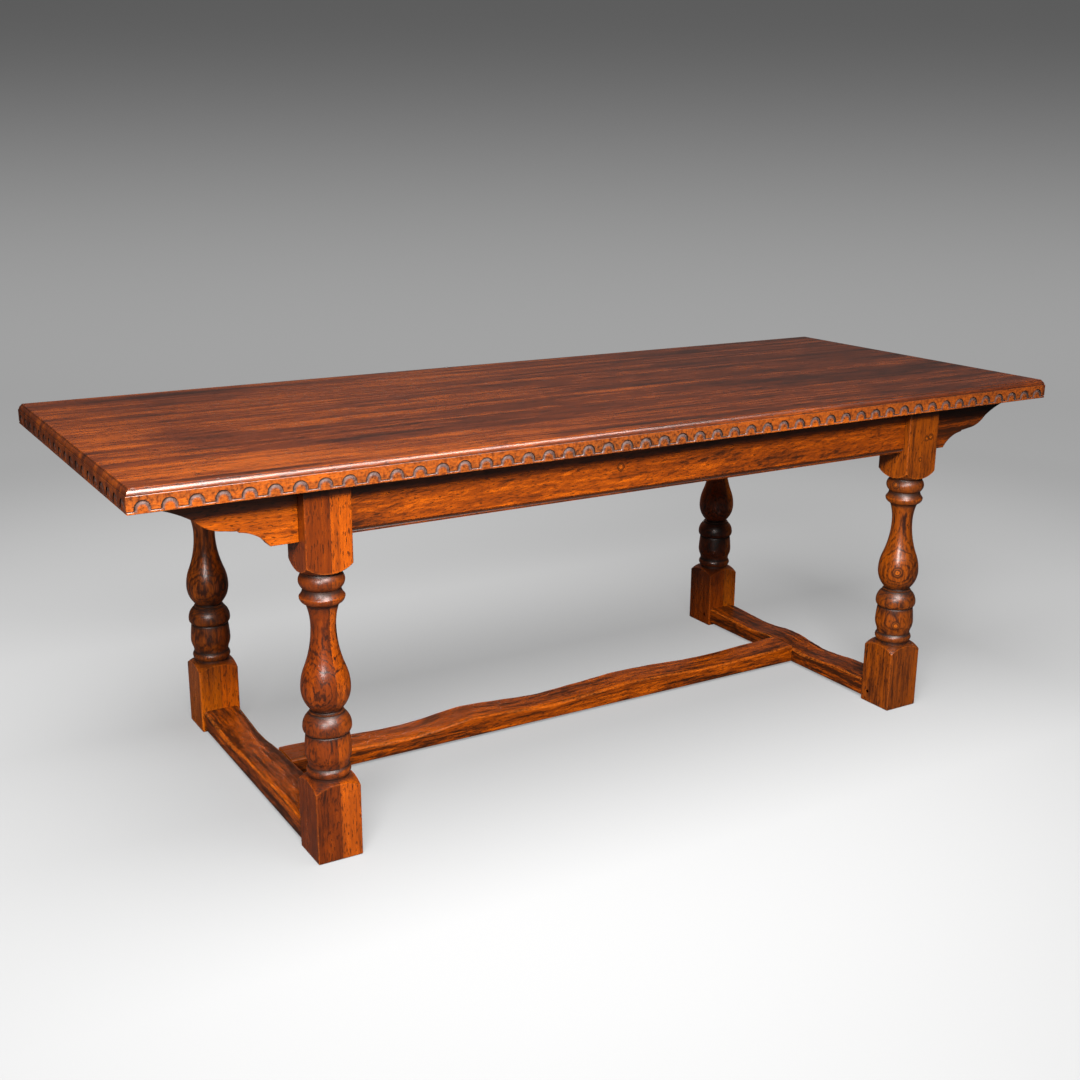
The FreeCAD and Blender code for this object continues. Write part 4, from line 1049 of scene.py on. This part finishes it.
def stretcher_rings(stations, half_run, half_wide, low, settings):
    """A stretcher as rings along its length: square below, its worn upper edges well rounded."""
    share = np.linspace(0, 1, 97)
    top = worn_height(stations, share)
    most = max(height for _, height in stations) * MM
    arris = settings.arris + 0.35 * (most - top)
    turn = np.linspace(0, math.pi / 2, 6)
    small = 0.0012
    rows = []
    for x, high, radius in zip((2 * share - 1) * half_run, top, arris):
        right = np.column_stack([half_wide - radius * (1 - np.cos(turn)),
                                 high - radius * (1 - np.sin(turn))])
        crown = [(half_wide * part, high + 0.0006 * (1 - part ** 2))
                 for part in (0.55, 0.2, -0.2, -0.55)]
        ring = np.concatenate([[(-half_wide + small, low), (half_wide - small, low),
                                (half_wide, low + small)], right, crown, right[::-1] * (-1, 1),
                               [(-half_wide, low + small)]])
        rows.append(np.column_stack([np.full(len(ring), x), ring]))
    wear = np.zeros(len(ring))
    wear[4:8] = wear[14:18] = 0.5
    return np.array(rows), [wear] * len(rows)


class TABLE_OT_stretchers(Operator):
    """Build the three worn stretchers near the floor"""

    bl_idname = "table.stretchers"
    bl_label = "Stretchers"

    def execute(self, context):
        settings = context.scene.table_frame
        for number, (name, stations) in enumerate(WEAR.items()):
            low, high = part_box(name)
            if name == "stretcher_long":
                grain, lift, turn, wide = "x", -0.02, 0, high.y - low.y
                half_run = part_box("stretcher_right")[0].x
                middle = (0, (low.y + high.y) / 2, 0)
            else:
                grain, lift, turn, wide = "y", -0.17, math.pi / 2, high.x - low.x
                half_run = -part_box("leg_front_right_inner")[1].y
                middle = ((low.x + high.x) / 2, 0, 0)
            rings, wear = stretcher_rings(stations, half_run, wide / 2, low.z, settings)
            rings = turned_about(rings, turn, middle)
            wood = oak(name, grain, (4.3 * number, 0.4, 0.06), tones(settings), streaks=0.35,
                       rings=0.2, mottle=0.2, rays=0.3, thread=0.35, fine=1.8, lift=lift, shine=0.2)
            new_piece(name.replace("stretcher", "worn_stretcher"), name, rings, wood,
                      {"wear": wear})
        return {"FINISHED"}


# ---- fastenings

def screw_steel():
    """Dull steel with a little brown in its scratches."""
    material, wire, place = new_material("screw_steel")
    spots = wire.noise(place, (400.0, 400.0, 900.0), detail=4.0, roughness=0.7)
    tint = wire.mix(wire.level(spots, 0.45, 0.7), (0.32, 0.31, 0.3, 1), (0.12, 0.07, 0.045, 1))
    rough = wire.plus(wire.times(spots, 0.35), 0.3)
    wire.surface({"Base Color": tint, "Roughness": rough, "Metallic": 1.0})
    return material


class TABLE_OT_fastenings(Operator):
    """Give the pegs, buttons, tongues and screws their finish"""

    bl_idname = "table.fastenings"
    bl_label = "Fastenings"

    def execute(self, context):
        wood = oak("plain", "z", (0.4, 0.1, 0.2), tones(context.scene.table_frame))
        steel = screw_steel()
        for name in ("top_tongues", "top_buttons", "rail_pegs", "stretcher_pegs"):
            frame["nodes"][name].material_slots[0].material = wood
        for name in ("button_screws", "bracket_screws"):
            frame["nodes"][name].material_slots[0].material = steel
        return {"FINISHED"}


# ---- stage

def grey(share):
    """A grey as a colour with its alpha."""
    return (share, share, share, 1)


def backdrop_material(settings):
    """Matt paper with a painted falloff of light: palest round the table, greyer away from it and
    up the wall.

    Part of its paleness is a glow that only the camera sees, growing further from the table, which
    keeps the shadows light. To the table it is a darker grey.
    """
    material, wire, place = new_material("backdrop_paper")
    height = wire.split(place)["Z"]
    away = wire.size(wire.vector("MULTIPLY", place, (1.0, 1.0, 0.0)))
    ground = wire.mix(wire.level(away, 0.7, 3.4), (*settings.floor, 1), (*settings.edge, 1))
    tint = wire.mix(wire.level(height, 0.0, 2.2), ground, (*settings.wall, 1))
    rays = wire.add("ShaderNodeLightPath").outputs
    seen = rays["Is Camera Ray"]
    mirrored = wire.mix(wire.level(height, 0.1, 1.0), grey(0.04), grey(0.2))
    matt = wire.mix(rays["Is Glossy Ray"], grey(0.2), mirrored)
    matt = wire.mix(seen, matt, wire.mix(1.0, tint, grey(0.16), blend="MULTIPLY"))
    far = wire.times(wire.level(away, 1.2, 3.6), 0.85 - settings.glow)
    wire.surface({"Base Color": matt, "Roughness": 0.9, "Specular IOR Level": 0.0,
                  "Emission Color": tint,
                  "Emission Strength": wire.times(seen, wire.plus(far, settings.glow))})
    return material


def sweep(settings, view):
    """Floor and wall in one sheet: a profile with a round sweep, carried across the view."""
    radius, bend_start, wall_top = 2.5, 4.0, 9.0
    turn = np.linspace(0, math.pi / 2, 16)[1:]
    profile = np.concatenate([
        np.column_stack([np.linspace(-30.0, bend_start, 12), np.zeros(12)]),
        np.column_stack([bend_start + radius * np.sin(turn), radius - radius * np.cos(turn)]),
        [(bend_start + radius, wall_top)]])
    sides = np.linspace(-80, 80, 5)
    ahead, aside = np.array(view), np.array([view[1], -view[0]])
    plan = profile[:, None, :1] * ahead + sides[None, :, None] * aside
    points = np.concatenate([plan, np.repeat(profile[:, None, 1:], 5, axis=1)], axis=-1)
    rows, columns = points.shape[:2]
    index = np.arange(rows * columns).reshape(rows, columns)
    quads = np.stack([index[:-1, :-1], index[:-1, 1:], index[1:, 1:], index[1:, :-1]], axis=-1)
    mesh = bpy.data.meshes.new("backdrop")
    mesh.from_pydata(points.reshape(-1, 3).tolist(), [], quads.reshape(-1, 4).tolist())
    mesh.update()
    mesh.polygons.foreach_set("use_smooth", np.ones(len(mesh.polygons), bool))
    mesh.materials.append(backdrop_material(settings))
    backdrop = bpy.data.objects.new("backdrop", mesh)
    bpy.context.scene.collection.objects.link(backdrop)
    return backdrop


def soft_light(name, place, aim, size, power, part, state, items):
    """A soft box at a place, turned towards a point.

    Its part is "diffuse" for matt light, "gloss" for shine, or "both". The state says whether
    the items are all that it lights, "INCLUDE", or all that it spares, "EXCLUDE".
    """
    lamp = bpy.data.lights.new(name, "AREA")
    lamp.shape = "RECTANGLE"
    lamp.size, lamp.size_y = size
    lamp.energy = power
    light = bpy.data.objects.new(name, lamp)
    turn = (Vector(aim) - Vector(place)).to_track_quat("-Z", "Y").to_matrix().to_4x4()
    light.matrix_world = Matrix.Translation(place) @ turn
    light.visible_diffuse = part != "gloss"
    light.visible_glossy = part != "diffuse"
    bpy.context.scene.collection.objects.link(light)
    lit = bpy.data.collections.new(f"lit_by_{name}")
    for item in items:
        lit.objects.link(item)
    for link in lit.collection_objects:
        link.light_linking.link_state = state
    light.light_linking.receiver_collection = lit


def studio_world():
    """White surroundings, dim as a light and brighter where the camera sees them."""
    world = bpy.data.worlds.new("studio")
    world.use_nodes = True
    wire = Wiring(world.node_tree)
    background = world.node_tree.nodes["Background"].inputs
    seen = wire.times(wire.add("ShaderNodeLightPath").outputs["Is Camera Ray"], 0.2)
    wire.feed(background["Color"], (1, 1, 1, 1))
    wire.feed(background["Strength"], wire.plus(seen, 0.06))
    return world


class TABLE_OT_stage(Operator):
    """Set up the floor, the lights and the camera"""

    bl_idname = "table.stage"
    bl_label = "Stage"

    def execute(self, context):
        scene, settings = context.scene, context.scene.table_stage
        yaw, pitch, roll = settings.yaw, settings.pitch, settings.roll
        ahead = Vector((math.sin(yaw) * math.cos(pitch), math.cos(yaw) * math.cos(pitch),
                        math.sin(pitch)))
        level = Vector((math.cos(yaw), -math.sin(yaw), 0))
        upward = level.cross(ahead)
        right = level * math.cos(roll) + upward * math.sin(roll)
        above = upward * math.cos(roll) - level * math.sin(roll)
        turn = Matrix((right, above, -ahead)).transposed().to_4x4()
        lens = bpy.data.cameras.new("camera")
        lens.sensor_width = 36.0
        lens.lens = settings.lens
        camera = bpy.data.objects.new("camera", lens)
        camera.matrix_world = Matrix.Translation(settings.camera_place) @ turn
        scene.collection.objects.link(camera)
        scene.camera = camera
        backdrop = sweep(settings, (math.sin(yaw), math.cos(yaw)))
        planks = [item for item in bpy.data.objects if item.name.startswith("top_plank")]
        lit = {"table": ("EXCLUDE", [backdrop]), "frame": ("EXCLUDE", [backdrop, *planks]),
               "planks": ("INCLUDE", planks), "backdrop": ("INCLUDE", [backdrop])}
        for name, (*light, what) in LIGHTS.items():
            soft_light(name, *light, *lit[what])
        scene.world = studio_world()
        scene.view_settings.view_transform = "Standard"
        return {"FINISHED"}


# ---- panel and registration

OPERATORS = (TABLE_OT_top, TABLE_OT_legs, TABLE_OT_rails, TABLE_OT_brackets, TABLE_OT_stretchers,
             TABLE_OT_fastenings, TABLE_OT_stage)
SETTINGS = {"table_top": TopSettings, "table_legs": LegSettings, "table_frame": FrameSettings,
            "table_stage": StageSettings}


class TABLE_PT_build(Panel):
    """Lists the steps that build the table"""

    bl_idname = "TABLE_PT_build"
    bl_label = "Refectory table"
    bl_space_type = "VIEW_3D"
    bl_region_type = "UI"
    bl_category = "Table"

    def draw(self, context):
        for operator in OPERATORS:
            self.layout.operator(operator.bl_idname)
        for name, settings in SETTINGS.items():
            box = self.layout.box()
            for key in settings.__annotations__:
                box.prop(getattr(context.scene, name), key)


CLASSES = (*SETTINGS.values(), *OPERATORS, TABLE_PT_build)


def register():
    """Register the classes and hang the settings on the scene."""
    for item in CLASSES:
        bpy.utils.register_class(item)
    for name, settings in SETTINGS.items():
        setattr(bpy.types.Scene, name, PointerProperty(type=settings))


def unregister():
    """Take the settings and the classes away again."""
    for name in SETTINGS:
        delattr(bpy.types.Scene, name)
    for item in reversed(CLASSES):
        bpy.utils.unregister_class(item)


def main():
    """Build the table and the stage."""
    register()
    for operator in OPERATORS:
        family, name = operator.bl_idname.split(".")
        getattr(getattr(bpy.ops, family), name)()


if __name__ == "__main__":
    main()
